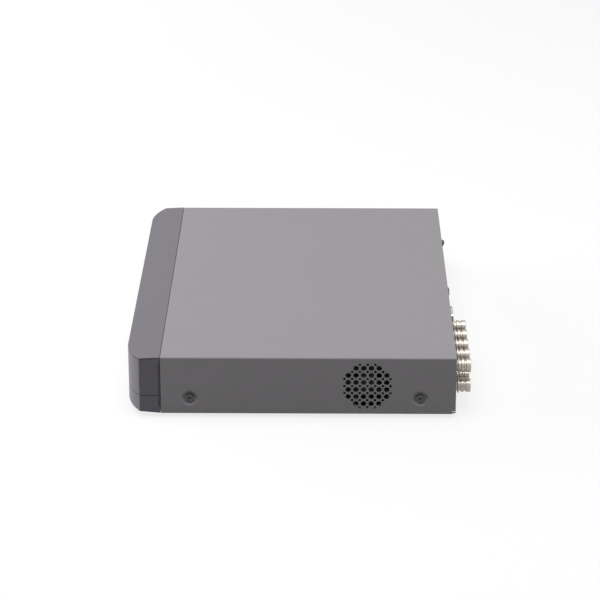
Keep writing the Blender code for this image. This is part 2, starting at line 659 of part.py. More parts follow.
def base_tray(look):
    """Floor, front wall, rear panel and side flanges, folded from one sheet, with pressed-in standoffs."""
    fold = TRAY_X - CORNER_NOTCH
    near, far = TRAY_FRONT + CORNER_NOTCH, REAR_Y - CORNER_NOTCH
    flat = [(-fold, TRAY_FRONT), (fold, TRAY_FRONT), (fold, near), (TRAY_X, near), (TRAY_X, far), (fold, far),
            (fold, REAR_Y), (-fold, REAR_Y), (-fold, far), (-TRAY_X, far), (-TRAY_X, near), (-fold, near)]
    panels = [[(x, y, FLOOR_Z) for x, y in flat]]
    notch_z = FLOOR_Z + CORNER_NOTCH
    for y, inward in ((TRAY_FRONT, 1), (REAR_Y, -1)):
        wall = [(-fold, FLOOR_Z), (fold, FLOOR_Z), (fold, notch_z), (PANEL_X, notch_z),
                (PANEL_X, TRAY_TOP), (-PANEL_X, TRAY_TOP), (-PANEL_X, notch_z), (-fold, notch_z)]
        panels.append([(x, y, z) for x, z in wall])
        lip_x, lip_y = PANEL_X - TRAY_LIP, y + inward * TRAY_LIP
        panels.append([(-PANEL_X, y, TRAY_TOP), (PANEL_X, y, TRAY_TOP),
                       (lip_x, lip_y, TRAY_TOP), (-lip_x, lip_y, TRAY_TOP)])
    flange_z = FLOOR_Z + SIDE_FLANGE
    tab = FAN_SIZE / 2 + FAN_TAB_MARGIN
    left = [(near, FLOOR_Z), (far, FLOOR_Z), (far, flange_z), (near, flange_z)]
    right = left[:3] + [(FAN_Y + tab, flange_z), (FAN_Y + tab, TRAY_TOP), (FAN_Y - tab, TRAY_TOP),
                        (FAN_Y - tab, flange_z)] + left[3:]
    panels.append([(-TRAY_X, y, z) for y, z in left])
    panels.append([(TRAY_X, y, z) for y, z in right])
    tray = folded_sheet("base_tray", panels, Vector((0, 0, -1)), look)

    grown = bmesh.new()
    root = DECK_Z - SHEET / 2
    for x, y in BOARD_SCREWS:
        add_rod(grown, (x, y, root), (x, y, BOARD_Z - FIT), STANDOFF_RADIUS, HOLE_STEPS)
    for x, y in DRIVE_HOLES:
        add_cone(grown, (x, y, root), (x, y, DECK_Z + DRIVE_BOSS), DRIVE_BOSS_FOOT, DRIVE_BOSS_TOP, FOOT_STEPS)
    add_rod(grown, (GROUND_X, PANEL_IN + SHEET / 2, GROUND_Z), (GROUND_X, PANEL_IN - GROUND_NUT_HEIGHT, GROUND_Z),
            GROUND_NUT, NUT_SIDES)
    join(tray, grown)

    hollows = bmesh.new()
    for x, y in DRIVE_HOLES:
        add_cone(hollows, (x, y, FLOOR_Z - PAST), (x, y, DECK_Z + DRIVE_BOSS - SHEET),
                 DRIVE_BOSS_FOOT - SHEET, DRIVE_BOSS_TOP - SHEET, FOOT_STEPS)
    cut(tray, hollows)

    holes = bmesh.new()
    for x, y in DRIVE_HOLES:
        add_rod(holes, (x, y, FLOOR_Z), (x, y, DECK_Z + DRIVE_BOSS + PAST), SCREW_SHANK + FIT, HOLE_STEPS)
    for x, y in BOARD_SCREWS:
        add_rod(holes, (x, y, BOARD_Z - BOARD_SCREW_LENGTH), (x, y, BOARD_Z + PAST), SCREW_SHANK + FIT, HOLE_STEPS)
    for x, y in FEET.values():
        add_rod(holes, (x, y, FLOOR_Z - PAST), (x, y, DECK_Z + PAST), FOOT_STEM + FIT, HOLE_STEPS)
    for side, y in COVER_SCREW_PLACES:
        add_rod(holes, (side * (TRAY_X + PAST), y, COVER_SCREW_Z), (side * (TRAY_X - SHEET - PAST), y, COVER_SCREW_Z),
                SCREW_SHANK + FIT, HOLE_STEPS)
    for y, z in FAN_SCREWS:
        add_rod(holes, (TRAY_X + PAST, y, z), (TRAY_X - SHEET - PAST, y, z), SCREW_SHANK + FIT, HOLE_STEPS)
    add_rod(holes, (TRAY_X + PAST, FAN_Y, FAN_Z), (TRAY_X - SHEET - PAST, FAN_Y, FAN_Z), FAN_TAB_OPENING, FAN_STEPS)
    for x in HOOK_PLACES:
        for z in (UPPER_HOOK_Z, LOWER_HOOK_Z):
            slot = rectangle(x, z, HOOK_WIDTH + 2 * FIT, HOOK_WALL + 2 * FIT)
            add_prism(holes, slot, "Y", TRAY_FRONT - PAST, TRAY_FRONT + SHEET + PAST)
    add_rod(holes, (FRONT_LEAD_X, TRAY_FRONT - PAST, FRONT_LEAD_Z),
            (FRONT_LEAD_X, TRAY_FRONT + SHEET + PAST, FRONT_LEAD_Z), 2 * FRONT_LEAD, HOLE_STEPS)
    inside, outside = PANEL_IN - GROUND_NUT_HEIGHT - PAST, REAR_Y + PAST
    rounds = [(x, z, BNC_COLLAR + FIT, BNC_STEPS) for x, z in BNC_PLACES]
    rounds += [(x, AUDIO_Z, AUDIO_BARREL + FIT, HOLE_STEPS) for x in AUDIO_PLACES]
    rounds += [(x, VGA_Z, VGA_SCREW_SHANK + FIT, HOLE_STEPS) for x in VGA_SCREWS]
    rounds += [(GROUND_X, GROUND_Z, GROUND_SHANK + FIT, HOLE_STEPS)]
    for x, z, radius, steps in rounds:
        add_rod(holes, (x, inside, z), (x, outside, z), radius, steps)
    usb_z, hdmi_z = SEAT_Z + USB_HEIGHT / 2, SEAT_Z + HDMI_HEIGHT / 2
    for outline in (usb_outline(USB_X, usb_z, FIT), hdmi_outline(HDMI_X, hdmi_z, FIT), vga_outline(FIT),
                    lan_outline(FIT), dc_outline(FIT), terminal_outline(FIT), switch_outline(FIT)):
        add_prism(holes, outline, "Y", inside, outside)
    cut(tray, holes)


def top_cover(look):
    """One folded sheet over the top and both sides, with dimples, the fan grille and the intake slots."""
    front, back = TRAY_FRONT, REAR_Y
    corners = [(-SIDE_X, FLOOR_Z), (-SIDE_X, TOP_Z), (SIDE_X, TOP_Z), (SIDE_X, FLOOR_Z)]
    panels = [[(x0, front, z0), (x1, front, z1), (x1, back, z1), (x0, back, z0)]
              for (x0, z0), (x1, z1) in zip(corners, corners[1:])]
    cover = folded_sheet("top_cover", panels, Vector((0, 0, 1)), look)

    slope = (DIMPLE_RADIUS - DIMPLE_FLOOR) / DIMPLE_DEPTH
    cups, hollows, holes = bmesh.new(), bmesh.new(), bmesh.new()
    for side, y in COVER_SCREW_PLACES:
        def at(depth):
            return (side * (SIDE_X - depth), y, COVER_SCREW_Z)
        add_cone(cups, at(SHEET / 2), at(DIMPLE_DEPTH + SHEET), DIMPLE_RADIUS + DIMPLE_WALL + slope * SHEET / 2,
                 DIMPLE_FLOOR + DIMPLE_WALL, FOOT_STEPS)
        add_cone(hollows, at(-PAST), at(DIMPLE_DEPTH), DIMPLE_RADIUS + slope * PAST, DIMPLE_FLOOR, FOOT_STEPS)
        add_rod(holes, at(-PAST), at(DIMPLE_DEPTH + SHEET + PAST), SCREW_SHANK + FIT, HOLE_STEPS)
    join(cover, cups)
    cut(cover, hollows)

    def pierce(y, z, radius, steps):
        add_rod(holes, (SIDE_X + PAST, y, z), (SIDE_X - SHEET - PAST / 2, y, z), radius, steps)
    pitch = (FAN_SIZE - 2 * GRILLE_RIM) / GRILLE_COLUMNS
    middle = (GRILLE_COLUMNS - 1) / 2
    reach = middle ** 2 + (middle - 1) ** 2
    for row in range(GRILLE_COLUMNS):
        for column in range(GRILLE_COLUMNS):
            u, v = column - middle, row - middle
            if u * u + v * v <= reach:
                pierce(FAN_Y + u * pitch, FAN_Z + v * pitch, GRILLE_HOLE, HOLE_STEPS)
    half = GRILLE_COLUMNS // 2
    for v in range(-half, half + 1):
        for u in range(-half, half + 1):
            if abs(u) + abs(v) <= half + 1:
                pierce(FAN_Y + u * pitch, FAN_Z + v * pitch, GRILLE_SMALL_HOLE, SMALL_HOLE_STEPS)
    middle_y = (TRAY_FRONT + REAR_Y) / 2
    middle_z = (FLOOR_Z + SIDE_FLANGE + TOP_Z) / 2
    for slot in range(VENT_SLOTS):
        y = middle_y + (slot - (VENT_SLOTS - 1) / 2) * VENT_PITCH
        outline = rounded(y, middle_z, VENT_WIDTH, VENT_HEIGHT, VENT_WIDTH / 3, 1)
        add_prism(holes, outline, "X", -SIDE_X - PAST, -SIDE_X + SHEET + PAST / 2)
    cut(cover, holes)


def joint_slots():
    """Tool for the shadow slots in both bezel mouldings, beside the cover."""
    bm = bmesh.new()
    for side in (1, -1):
        outline = rectangle(side * SIDE_X, FLOOR_Z + (JOINT_SLOT_LOW + JOINT_SLOT_HIGH) / 2,
                            2 * (LOWER_WALL + PAST), JOINT_SLOT_HIGH - JOINT_SLOT_LOW)
        add_prism(bm, outline, "Y", JOINT_Y - JOINT_SLOT, JOINT_Y + PAST)
    return bm


def hooks(root_z, hook_z):
    """Tool for a row of snap hooks that hang from, or stand on, a bezel wall and go through the tray."""
    up = 1 if root_z < hook_z else -1
    back = JOINT_Y - HOOK_SETBACK
    near, far = hook_z - up * HOOK_WALL / 2, hook_z + up * HOOK_WALL / 2
    outline = [(back, root_z), (back + HOOK_POST, root_z), (back + HOOK_POST, near), (BARB_Y, near),
               (BARB_Y, near - up * HOOK_BARB), (BARB_Y + HOOK_TIP, near), (BARB_Y + HOOK_TIP, far), (back, far)]
    bm = bmesh.new()
    for x in HOOK_PLACES:
        add_prism(bm, outline, "X", x - HOOK_WIDTH / 2, x + HOOK_WIDTH / 2)
    return bm


def bezel_upper(look):
    """The taller front moulding, open towards the tray and the seam."""
    bm = bmesh.new()
    add_prism(bm, bezel_plan(0, JOINT_Y), "Z", SEAM_Z + SEAM_GAP / 2, TOP_Z)
    bezel = piece("bezel_upper", bm, look)
    round_edges(bezel, BEZEL_EDGE, EDGE_STEPS, BEZEL_EDGE_ANGLE)
    hollow = bmesh.new()
    add_prism(hollow, bezel_plan(BEZEL_WALL, JOINT_Y + PAST), "Z", SEAM_Z - PAST, TOP_Z - BEZEL_WALL)
    cut(bezel, hollow)
    cut(bezel, joint_slots())
    join(bezel, hooks(TOP_Z - BEZEL_WALL + SINK, UPPER_HOOK_Z))


def bezel_lower(look):
    """The lower front moulding: rising underside, lip into the upper one, openings and board posts."""
    bm = bmesh.new()
    add_prism(bm, bezel_plan(0, JOINT_Y), "Z", FLOOR_Z - PAST, SEAM_Z - SEAM_GAP / 2)
    slope_under(bm, 0)
    bezel = piece("bezel_lower", bm, look)
    round_edges(bezel, BEZEL_EDGE, EDGE_STEPS, BEZEL_EDGE_ANGLE)
    lip = bmesh.new()
    lip_back = JOINT_Y - JOINT_SLOT - FIT
    add_prism(lip, bezel_plan(BEZEL_WALL + FIT, lip_back), "Z", SEAM_Z - LIP_HEIGHT, SEAM_Z + LIP_HEIGHT)
    join(bezel, lip)
    hollow = bmesh.new()
    add_prism(hollow, bezel_plan(LOWER_WALL, JOINT_Y + PAST), "Z", FLOOR_Z - PAST, TOP_Z)
    slope_under(hollow, BEZEL_WALL)
    cut(bezel, hollow)
    cut(bezel, joint_slots())

    posts = hooks(chin_z(JOINT_Y - HOOK_SETBACK) + BEZEL_WALL / 2, LOWER_HOOK_Z)
    y = FRONT_BOARD_BACK - FRONT_POST_EDGE
    for place in FRONT_POST_PLACES:
        x = FRONT_BOARD_X + place
        add_rod(posts, (x, y, chin_z(y) + BEZEL_WALL / 2), (x, y, FRONT_BOARD_Z - FIT), FRONT_POST, HOLE_STEPS)
    join(bezel, posts)

    openings = bmesh.new()
    mouth, inner = FRONT_Y - PAST, FRONT_Y + LOWER_WALL + PAST
    add_prism(openings, usb_outline(FRONT_USB_X, STRIP_Z, FIT), "Y", mouth, inner)
    for place in LIGHT_PLACES:
        x = FRONT_BOARD_X + place
        add_rod(openings, (x, mouth, STRIP_Z), (x, inner, STRIP_Z), LIGHT_RADIUS + FIT, HOLE_STEPS)
    pocket = rectangle(WINDOW_X, STRIP_Z, WINDOW_WIDTH + 2 * FIT, WINDOW_HEIGHT + 2 * FIT)
    add_prism(openings, pocket, "Y", mouth, FRONT_Y + WINDOW_WALL + FIT)
    cut(bezel, openings)
    sight = bmesh.new()
    opening = rectangle(WINDOW_X, STRIP_Z, WINDOW_WIDTH - 2 * WINDOW_LEDGE, WINDOW_HEIGHT - 2 * WINDOW_LEDGE)
    add_prism(sight, opening, "Y", mouth, inner)
    cut(bezel, sight)


def front_window(look):
    """The infrared window, in its pocket in the lower moulding."""
    bm = bmesh.new()
    outline = rectangle(WINDOW_X, STRIP_Z, WINDOW_WIDTH, WINDOW_HEIGHT)
    add_prism(bm, outline, "Y", FRONT_Y, FRONT_Y + WINDOW_WALL)
    piece("ir_window", bm, look)


def light_guide(look):
    """Three light pipes on one bar, under the front board's lamps."""
    bm = bmesh.new()
    bar_y = FRONT_Y + LOWER_WALL + 2 * FIT
    places = [FRONT_BOARD_X + place for place in LIGHT_PLACES]
    add_box(bm, (places[0] - LIGHT_BAR, bar_y, STRIP_Z - LIGHT_BAR / 2),
            (places[-1] + LIGHT_BAR, bar_y + LIGHT_BAR, FRONT_BOARD_Z - FIT))
    guide = piece("light_guide", bm, look)
    pipes = bmesh.new()
    for x in places:
        add_rod(pipes, (x, FRONT_Y, STRIP_Z), (x, bar_y + LIGHT_BAR / 2, STRIP_Z), LIGHT_RADIUS, HOLE_STEPS)
    join(guide, pipes)


def front_board(look):
    """The small board behind the bezel, with its infrared receiver."""
    bm = bmesh.new()
    add_box(bm, (FRONT_BOARD_X, FRONT_BOARD_Y, FRONT_BOARD_Z),
            (FRONT_BOARD_X + FRONT_BOARD_LENGTH, FRONT_BOARD_BACK, FRONT_BOARD_TOP))
    board = piece("front_board", bm, look)
    receiver = bmesh.new()
    add_box(receiver, (WINDOW_X - RECEIVER / 2, FRONT_BOARD_Y + FIT, STRIP_Z - RECEIVER / 2),
            (WINDOW_X + RECEIVER / 2, FRONT_BOARD_Y + RECEIVER, FRONT_BOARD_Z + SINK))
    join(board, receiver)


def tongued_port(name, look, outline, hollow, tongue, mouth, way):
    """A shell with a hollow and a contact tongue; way is the direction in which the mouth faces."""
    back = mouth - way * PORT_DEPTH
    bm = bmesh.new()
    add_prism(bm, outline, "Y", back, mouth)
    port = piece(name, bm, look)
    inner = bmesh.new()
    add_prism(inner, hollow, "Y", back + way * PORT_BACK, mouth + way * PAST)
    cut(port, inner)
    if tongue is not None:
        blade = bmesh.new()
        add_prism(blade, tongue, "Y", back + way * (PORT_BACK - SINK), mouth - way * TONGUE_SETBACK)
        join(port, blade)


def usb_port(name, x, z, mouth, way, look):
    """A USB socket, its tongue in the upper half of the hollow."""
    tongue_z = z + USB_HEIGHT / 2 - USB_WALL - USB_TONGUE
    tongue = rectangle(x, tongue_z, USB_WIDTH - 2 * (USB_WALL + USB_TONGUE_SIDE), USB_TONGUE)
    tongued_port(name, look, usb_outline(x, z), usb_outline(x, z, -USB_WALL), tongue, mouth, way)


def hdmi_port(look):
    """The HDMI socket."""
    z = SEAT_Z + HDMI_HEIGHT / 2
    tongue = rectangle(HDMI_X, z, HDMI_WIDTH - 2 * HDMI_CHAMFER, USB_TONGUE)
    tongued_port("hdmi_port", look, hdmi_outline(HDMI_X, z), hdmi_outline(HDMI_X, z, -USB_WALL), tongue,
                 REAR_Y + PORT_REACH, 1)


def lan_port(look):
    """The LAN socket, with the step for the plug's latch under its mouth."""
    half, latch = LAN_MOUTH_WIDTH / 2, LAN_LATCH_WIDTH / 2
    low = SEAT_Z + LAN_MOUTH_FLOOR
    sill = low + LAN_LATCH_HEIGHT
    top = sill + LAN_MOUTH_HEIGHT
    mouth = [(LAN_X - latch, low), (LAN_X + latch, low), (LAN_X + latch, sill), (LAN_X + half, sill),
             (LAN_X + half, top), (LAN_X - half, top), (LAN_X - half, sill), (LAN_X - latch, sill)]
    tongued_port("lan_port", look, lan_outline(), mouth, None, REAR_Y + PORT_REACH, 1)


def serial_terminal(look):
    """A two-way terminal, with wire holes."""
    bm = bmesh.new()
    mouth = REAR_Y + PORT_REACH
    add_prism(bm, terminal_outline(), "Y", mouth - TERMINAL_DEPTH, mouth)
    terminal = piece("serial_terminal", bm, look)
    holes = bmesh.new()
    z = SEAT_Z + TERMINAL_HEIGHT / 2
    for side in (1, -1):
        x = TERMINAL_X + side * TERMINAL_PITCH / 2
        add_rod(holes, (x, mouth - TERMINAL_HOLE_DEPTH, z), (x, mouth + PAST, z), TERMINAL_HOLE, HOLE_STEPS)
    cut(terminal, holes)


def dc_jack(look):
    """The power inlet: a round bore with a centre pin."""
    bm = bmesh.new()
    mouth = REAR_Y + PORT_REACH
    add_prism(bm, dc_outline(), "Y", mouth - DC_DEPTH, mouth)
    jack = piece("dc_jack", bm, look)
    z = SEAT_Z + DC_HEIGHT / 2
    floor = mouth - DC_BORE_DEPTH
    bore, pin = bmesh.new(), bmesh.new()
    add_rod(bore, (DC_X, floor, z), (DC_X, mouth + PAST, z), DC_BORE, FOOT_STEPS)
    cut(jack, bore)
    add_rod(pin, (DC_X, floor - SINK, z), (DC_X, mouth - TONGUE_SETBACK, z), DC_PIN, SCREW_STEPS)
    join(jack, pin)


def vga_port(look):
    """The VGA socket: a block behind the panel and its D shell through it."""
    bm = bmesh.new()
    face = PANEL_IN - FIT
    block = rectangle(VGA_X, VGA_Z, VGA_BODY_WIDTH, VGA_BODY_HEIGHT)
    add_prism(bm, block, "Y", face - VGA_BODY_DEPTH, face)
    port = piece("vga_port", bm, look)
    shell, holes = bmesh.new(), bmesh.new()
    add_prism(shell, vga_outline(), "Y", face - SINK, REAR_Y + VGA_REACH)
    join(port, shell)
    for x in VGA_SCREWS:
        add_rod(holes, (x, REAR_Y - VGA_SCREW_LENGTH - FIT, VGA_Z), (x, REAR_Y, VGA_Z),
                VGA_SCREW_SHANK + FIT, SCREW_STEPS)
    cut(port, holes)


def vga_jackscrews(look):
    """The two hexagonal posts beside the VGA shell."""
    for number, x in enumerate(VGA_SCREWS, start=1):
        bm = bmesh.new()
        add_rod(bm, (x, REAR_Y + FIT, VGA_Z), (x, REAR_Y + VGA_REACH, VGA_Z), VGA_SCREW_HEX, NUT_SIDES)
        screw = piece(f"vga_jackscrew_{number}", bm, look)
        shank = bmesh.new()
        add_rod(shank, (x, REAR_Y - VGA_SCREW_LENGTH, VGA_Z), (x, REAR_Y + FIT + SINK, VGA_Z),
                VGA_SCREW_SHANK, SCREW_STEPS)
        join(screw, shank)


def audio_jacks(look):
    """Two phono jacks: a block behind the panel and a barrel through it."""
    for name, x in zip(("audio_in_jack", "audio_out_jack"), AUDIO_PLACES):
        bm = bmesh.new()
        face = PANEL_IN - FIT
        add_prism(bm, rectangle(x, AUDIO_Z, AUDIO_BODY, AUDIO_BODY), "Y", face - AUDIO_DEPTH, face)
        jack = piece(name, bm, look)
        barrel, bore = bmesh.new(), bmesh.new()
        tip = REAR_Y + AUDIO_REACH
        add_rod(barrel, (x, face - SINK, AUDIO_Z), (x, tip, AUDIO_Z), AUDIO_BARREL, HOLE_STEPS)
        join(jack, barrel)
        add_rod(bore, (x, tip - AUDIO_BORE_DEPTH, AUDIO_Z), (x, tip + PAST, AUDIO_Z), AUDIO_BORE, HOLE_STEPS)
        cut(jack, bore)


def bnc_jacks(look):
    """Nine bayonet jacks from one mesh, about the point where each axis meets the rear panel's face."""
    back = -SHEET - FIT - BNC_FLANGE_WALL
    hollow = BNC_CORE + FIT
    profile = [(back, hollow), (back, BNC_FLANGE), (-SHEET - FIT, BNC_FLANGE), (-SHEET - FIT, BNC_COLLAR),
               (BNC_COLLAR_LENGTH, BNC_COLLAR), (BNC_COLLAR_LENGTH + BNC_CHAMFER, BNC_BARREL),
               (BNC_REACH - BNC_CHAMFER, BNC_BARREL), (BNC_REACH, BNC_BARREL - BNC_CHAMFER),
               (BNC_REACH, BNC_MOUTH), (back + BNC_BACK_WALL, BNC_MOUTH), (back + BNC_BACK_WALL, hollow)]
    bm = bmesh.new()
    add_turned(bm, profile, (0, 0, 0), (0, 1, 0), BNC_STEPS, ring=True)
    shell = piece("bnc_shell", bm, look)
    studs = bmesh.new()
    stud_y = BNC_REACH - BNC_STUD_SETBACK
    for side in (1, -1):
        add_rod(studs, (side * (BNC_BARREL - BNC_CHAMFER), stud_y, 0),
                (side * (BNC_BARREL + BNC_STUD_REACH), stud_y, 0), BNC_STUD, SMALL_HOLE_STEPS)
    join(shell, studs)
    mesh = baked(shell)
    for number, (x, z) in enumerate(BNC_PLACES, start=1):
        put(f"bnc_jack_{number}", mesh, look, (x, REAR_Y, z))


def bnc_insulator(look):
    """One moulded block behind the panel, with the core of every BNC jack."""
    face = PANEL_IN - 2 * FIT - BNC_FLANGE_WALL
    right = BNC_COLUMN_X[0] + BNC_BLOCK_EDGE
    middle = BNC_COLUMN_X[BNC_LOWER_COLUMNS - 1] - BNC_BLOCK_EDGE
    left = BNC_COLUMN_X[-1] - BNC_BLOCK_EDGE
    low, high = BNC_UPPER_Z - BNC_BLOCK_EDGE, BNC_UPPER_Z + BNC_BLOCK_EDGE
    outline = [(middle, SEAT_Z), (right, SEAT_Z), (right, high), (left, high), (left, low), (middle, low)]
    bm = bmesh.new()
    add_prism(bm, outline, "Y", face - BNC_BLOCK_DEPTH, face)
    block = piece("bnc_insulator", bm, look)
    cores = bmesh.new()
    for x, z in BNC_PLACES:
        add_rod(cores, (x, face - SINK, z), (x, REAR_Y + BNC_REACH - BNC_CORE_SETBACK, z), BNC_CORE, HOLE_STEPS)
    join(block, cores)


def switch_housing(look):
    """The switch frame: a flange on the panel and a body through it, hollow for the rocker."""
    front = REAR_Y + FIT + SWITCH_FLANGE_WALL
    bm = bmesh.new()
    add_prism(bm, switch_outline(SWITCH_FLANGE_EDGE), "Y", REAR_Y + FIT, front)
    housing = piece("switch_housing", bm, look)
    body, hollow, pivots = bmesh.new(), bmesh.new(), bmesh.new()
    add_prism(body, switch_outline(), "Y", PANEL_IN - SWITCH_BODY_DEPTH, REAR_Y + FIT + SINK)
    join(housing, body)
    add_prism(hollow, switch_outline(-SWITCH_WALL), "Y", REAR_Y + ROCKER_PIVOT - ROCKER_RADIUS - FIT, front + PAST)
    cut(housing, hollow)
    reach = ROCKER_WIDTH / 2 + ROCKER_STUB_LENGTH + FIT
    pivot_y = REAR_Y + ROCKER_PIVOT
    add_rod(pivots, (SWITCH_X - reach, pivot_y, SWITCH_Z), (SWITCH_X + reach, pivot_y, SWITCH_Z),
            ROCKER_STUB + FIT, HOLE_STEPS)
    cut(housing, pivots)


def switch_rocker(look):
    """The rocker, about its pivot: a round back, two raised ends and a stub at each side."""
    arc = []
    for step in range(ROCKER_ARC_STEPS + 1):
        angle = -ROCKER_SHOULDER + step / ROCKER_ARC_STEPS * (math.pi + 2 * ROCKER_SHOULDER)
        arc.append((-ROCKER_RADIUS * math.sin(angle), ROCKER_RADIUS * math.cos(angle)))
    outline = arc + [(ROCKER_EAR, -ROCKER_EAR_SPREAD), (ROCKER_WAIST, 0), (ROCKER_EAR, ROCKER_EAR_SPREAD)]
    turned = [(y * math.cos(ROCKER_TILT) + z * math.sin(ROCKER_TILT),
               z * math.cos(ROCKER_TILT) - y * math.sin(ROCKER_TILT)) for y, z in outline]
    bm = bmesh.new()
    add_prism(bm, turned, "X", -ROCKER_WIDTH / 2, ROCKER_WIDTH / 2)
    rocker = piece("switch_rocker", bm, look)
    stubs = bmesh.new()
    reach = ROCKER_WIDTH / 2 + ROCKER_STUB_LENGTH
    add_rod(stubs, (-reach, 0, 0), (reach, 0, 0), ROCKER_STUB, HOLE_STEPS)
    join(rocker, stubs)
    mesh = baked(rocker)
    put("switch_rocker", mesh, look, (SWITCH_X, REAR_Y + ROCKER_PIVOT, SWITCH_Z))


def screw_mesh(name, shank, length, head, height):
    """A pan-head screw: its shank runs down from the origin and its head stands on it."""
    bm = bmesh.new()
    profile = [(-length, 0), (-length, shank), (0, shank), (0, head), (height / 2, head), (height, head / 2),
               (height, 0)]
    add_turned(bm, profile, (0, 0, 0), (0, 0, 1), SCREW_STEPS)
    return mesh_from(bm, name)


def ground_screw(look):
    """The earth screw in the rear panel, with its captive washer."""
    bm = bmesh.new()
    washer = FIT + GROUND_WASHER_WALL
    profile = [(-GROUND_SHANK_LENGTH, 0), (-GROUND_SHANK_LENGTH, GROUND_SHANK), (FIT, GROUND_SHANK),
               (FIT, GROUND_WASHER), (washer, GROUND_WASHER), (washer, GROUND_HEAD),
               (washer + GROUND_HEAD_HEIGHT, GROUND_HEAD), (washer + GROUND_HEAD_HEIGHT, 0)]
    add_turned(bm, profile, (GROUND_X, REAR_Y, GROUND_Z), (0, 1, 0), SCREW_STEPS)
    piece("ground_screw", bm, look)


def screws(look):
    """Cover, board, drive and fan screws, each on its own seat."""
    def row(kind, length, places, outward):
        mesh = screw_mesh(kind, SCREW_SHANK, length, SCREW_HEAD, SCREW_HEAD_HEIGHT)
        for number, place in enumerate(places, start=1):
            way = outward(place)
            put(f"{kind}_{number}", mesh, look, place, Vector(way).to_track_quat("Z", "Y"))
    seat = SIDE_X - DIMPLE_DEPTH + FIT
    row("cover_screw", COVER_SCREW_LENGTH, [(side * seat, y, COVER_SCREW_Z) for side, y in COVER_SCREW_PLACES],
        lambda place: (math.copysign(1, place[0]), 0, 0))
    row("board_screw", BOARD_SCREW_LENGTH, [(x, y, SEAT_Z) for x, y in BOARD_SCREWS], lambda place: (0, 0, 1))
    underside = DECK_Z + DRIVE_BOSS - SHEET - FIT
    row("drive_screw", DRIVE_SCREW_LENGTH, [(x, y, underside) for x, y in DRIVE_HOLES], lambda place: (0, 0, -1))
    row("fan_screw", FIT + FAN_DEPTH + FIT + SHEET, [(FAN_IN - FIT, y, z) for y, z in FAN_SCREWS],
        lambda place: (-1, 0, 0))


def feet(look):
    """Four rubber feet, each with a stem through the tray's floor."""
    bm = bmesh.new()
    top = FOOT_HEIGHT - FIT
    stem = DECK_Z + FOOT_STEM_LENGTH
    profile = [(0, 0), (0, FOOT_RADIUS - FIT), (top, FOOT_RADIUS), (top, FOOT_STEM), (stem, FOOT_STEM), (stem, 0)]
    add_turned(bm, profile, (0, 0, 0), (0, 0, 1), FOOT_STEPS)
    mesh = mesh_from(bm, "foot")
    for corner, (x, y) in FEET.items():
        put(f"foot_{corner}", mesh, look, (x, y, 0))


def main_board(look):
    """The main board, cut back beside the fan, with its soldered chips."""
    outline = [(BOARD_LEFT, BOARD_FRONT), (BOARD_NOTCH_X, BOARD_FRONT), (BOARD_NOTCH_X, BOARD_NOTCH_Y),
               (BOARD_RIGHT, BOARD_NOTCH_Y), (BOARD_RIGHT, BOARD_BACK), (BOARD_LEFT, BOARD_BACK)]
    bm = bmesh.new()
    add_prism(bm, outline, "Z", BOARD_Z, BOARD_TOP)
    board = piece("main_board", bm, look)
    chips = bmesh.new()
    y = BOARD_FRONT + CHIP_DEEP
    blocks = [(CHIP_X, CHIP_SIZE, CHIP_SIZE, CHIP_HEIGHT)]
    blocks += [(CHIP_X + side * MEMORY_GAP, MEMORY_WIDTH, MEMORY_LENGTH, MEMORY_HEIGHT) for side in (1, -1)]
    for x, width, length, height in blocks:
        add_box(chips, (x - width / 2, y - length / 2, BOARD_TOP - SINK),
                (x + width / 2, y + length / 2, BOARD_TOP + height))
    join(board, chips)
    holes = bmesh.new()
    for x, y in BOARD_SCREWS:
        add_rod(holes, (x, y, BOARD_Z - PAST), (x, y, BOARD_TOP + PAST), SCREW_SHANK + FIT, HOLE_STEPS)
    cut(board, holes)


def heat_sink(look):
    """A finned extrusion on the main chip."""
    low = BOARD_TOP + CHIP_HEIGHT + FIT
    floor, high = low + SINK_BASE, low + SINK_HEIGHT
    left, right = CHIP_X - SINK_SIZE / 2, CHIP_X + SINK_SIZE / 2
    step = (SINK_SIZE - SINK_FIN_WALL) / (SINK_FINS - 1)
    outline = [(right, low)]
    for fin in range(SINK_FINS):
        x = right - fin * step
        outline += [(x, high), (x - SINK_FIN_WALL, high)]
        if fin < SINK_FINS - 1:
            outline += [(x - SINK_FIN_WALL, floor), (x - step, floor)]
    outline.append((left, low))
    y = BOARD_FRONT + CHIP_DEEP
    bm = bmesh.new()
    add_prism(bm, outline, "Y", y - SINK_SIZE / 2, y + SINK_SIZE / 2)
    piece("heat_sink", bm, look)


def clock_battery(coin_look, holder_look):
    """The coin cell and the round holder that it lies in."""
    centre = Vector((BOARD_LEFT + COIN_PLACE, BOARD_FRONT + COIN_DEEP, SEAT_Z))
    up = Vector((0, 0, 1))
    floor = HOLDER_FLOOR + FIT
    inner = COIN_RADIUS + FIT
    bm = bmesh.new()
    rim = HOLDER_FLOOR + COIN_HEIGHT
    profile = [(0, 0), (0, inner + HOLDER_WALL), (rim, inner + HOLDER_WALL), (rim, inner), (HOLDER_FLOOR, inner),
               (HOLDER_FLOOR, 0)]
    add_turned(bm, profile, centre, up, COIN_STEPS)
    piece("battery_holder", bm, holder_look)
    coin = bmesh.new()
    add_rod(coin, centre + up * floor, centre + up * (floor + COIN_HEIGHT), COIN_RADIUS, COIN_STEPS)
    piece("clock_battery", coin, coin_look)


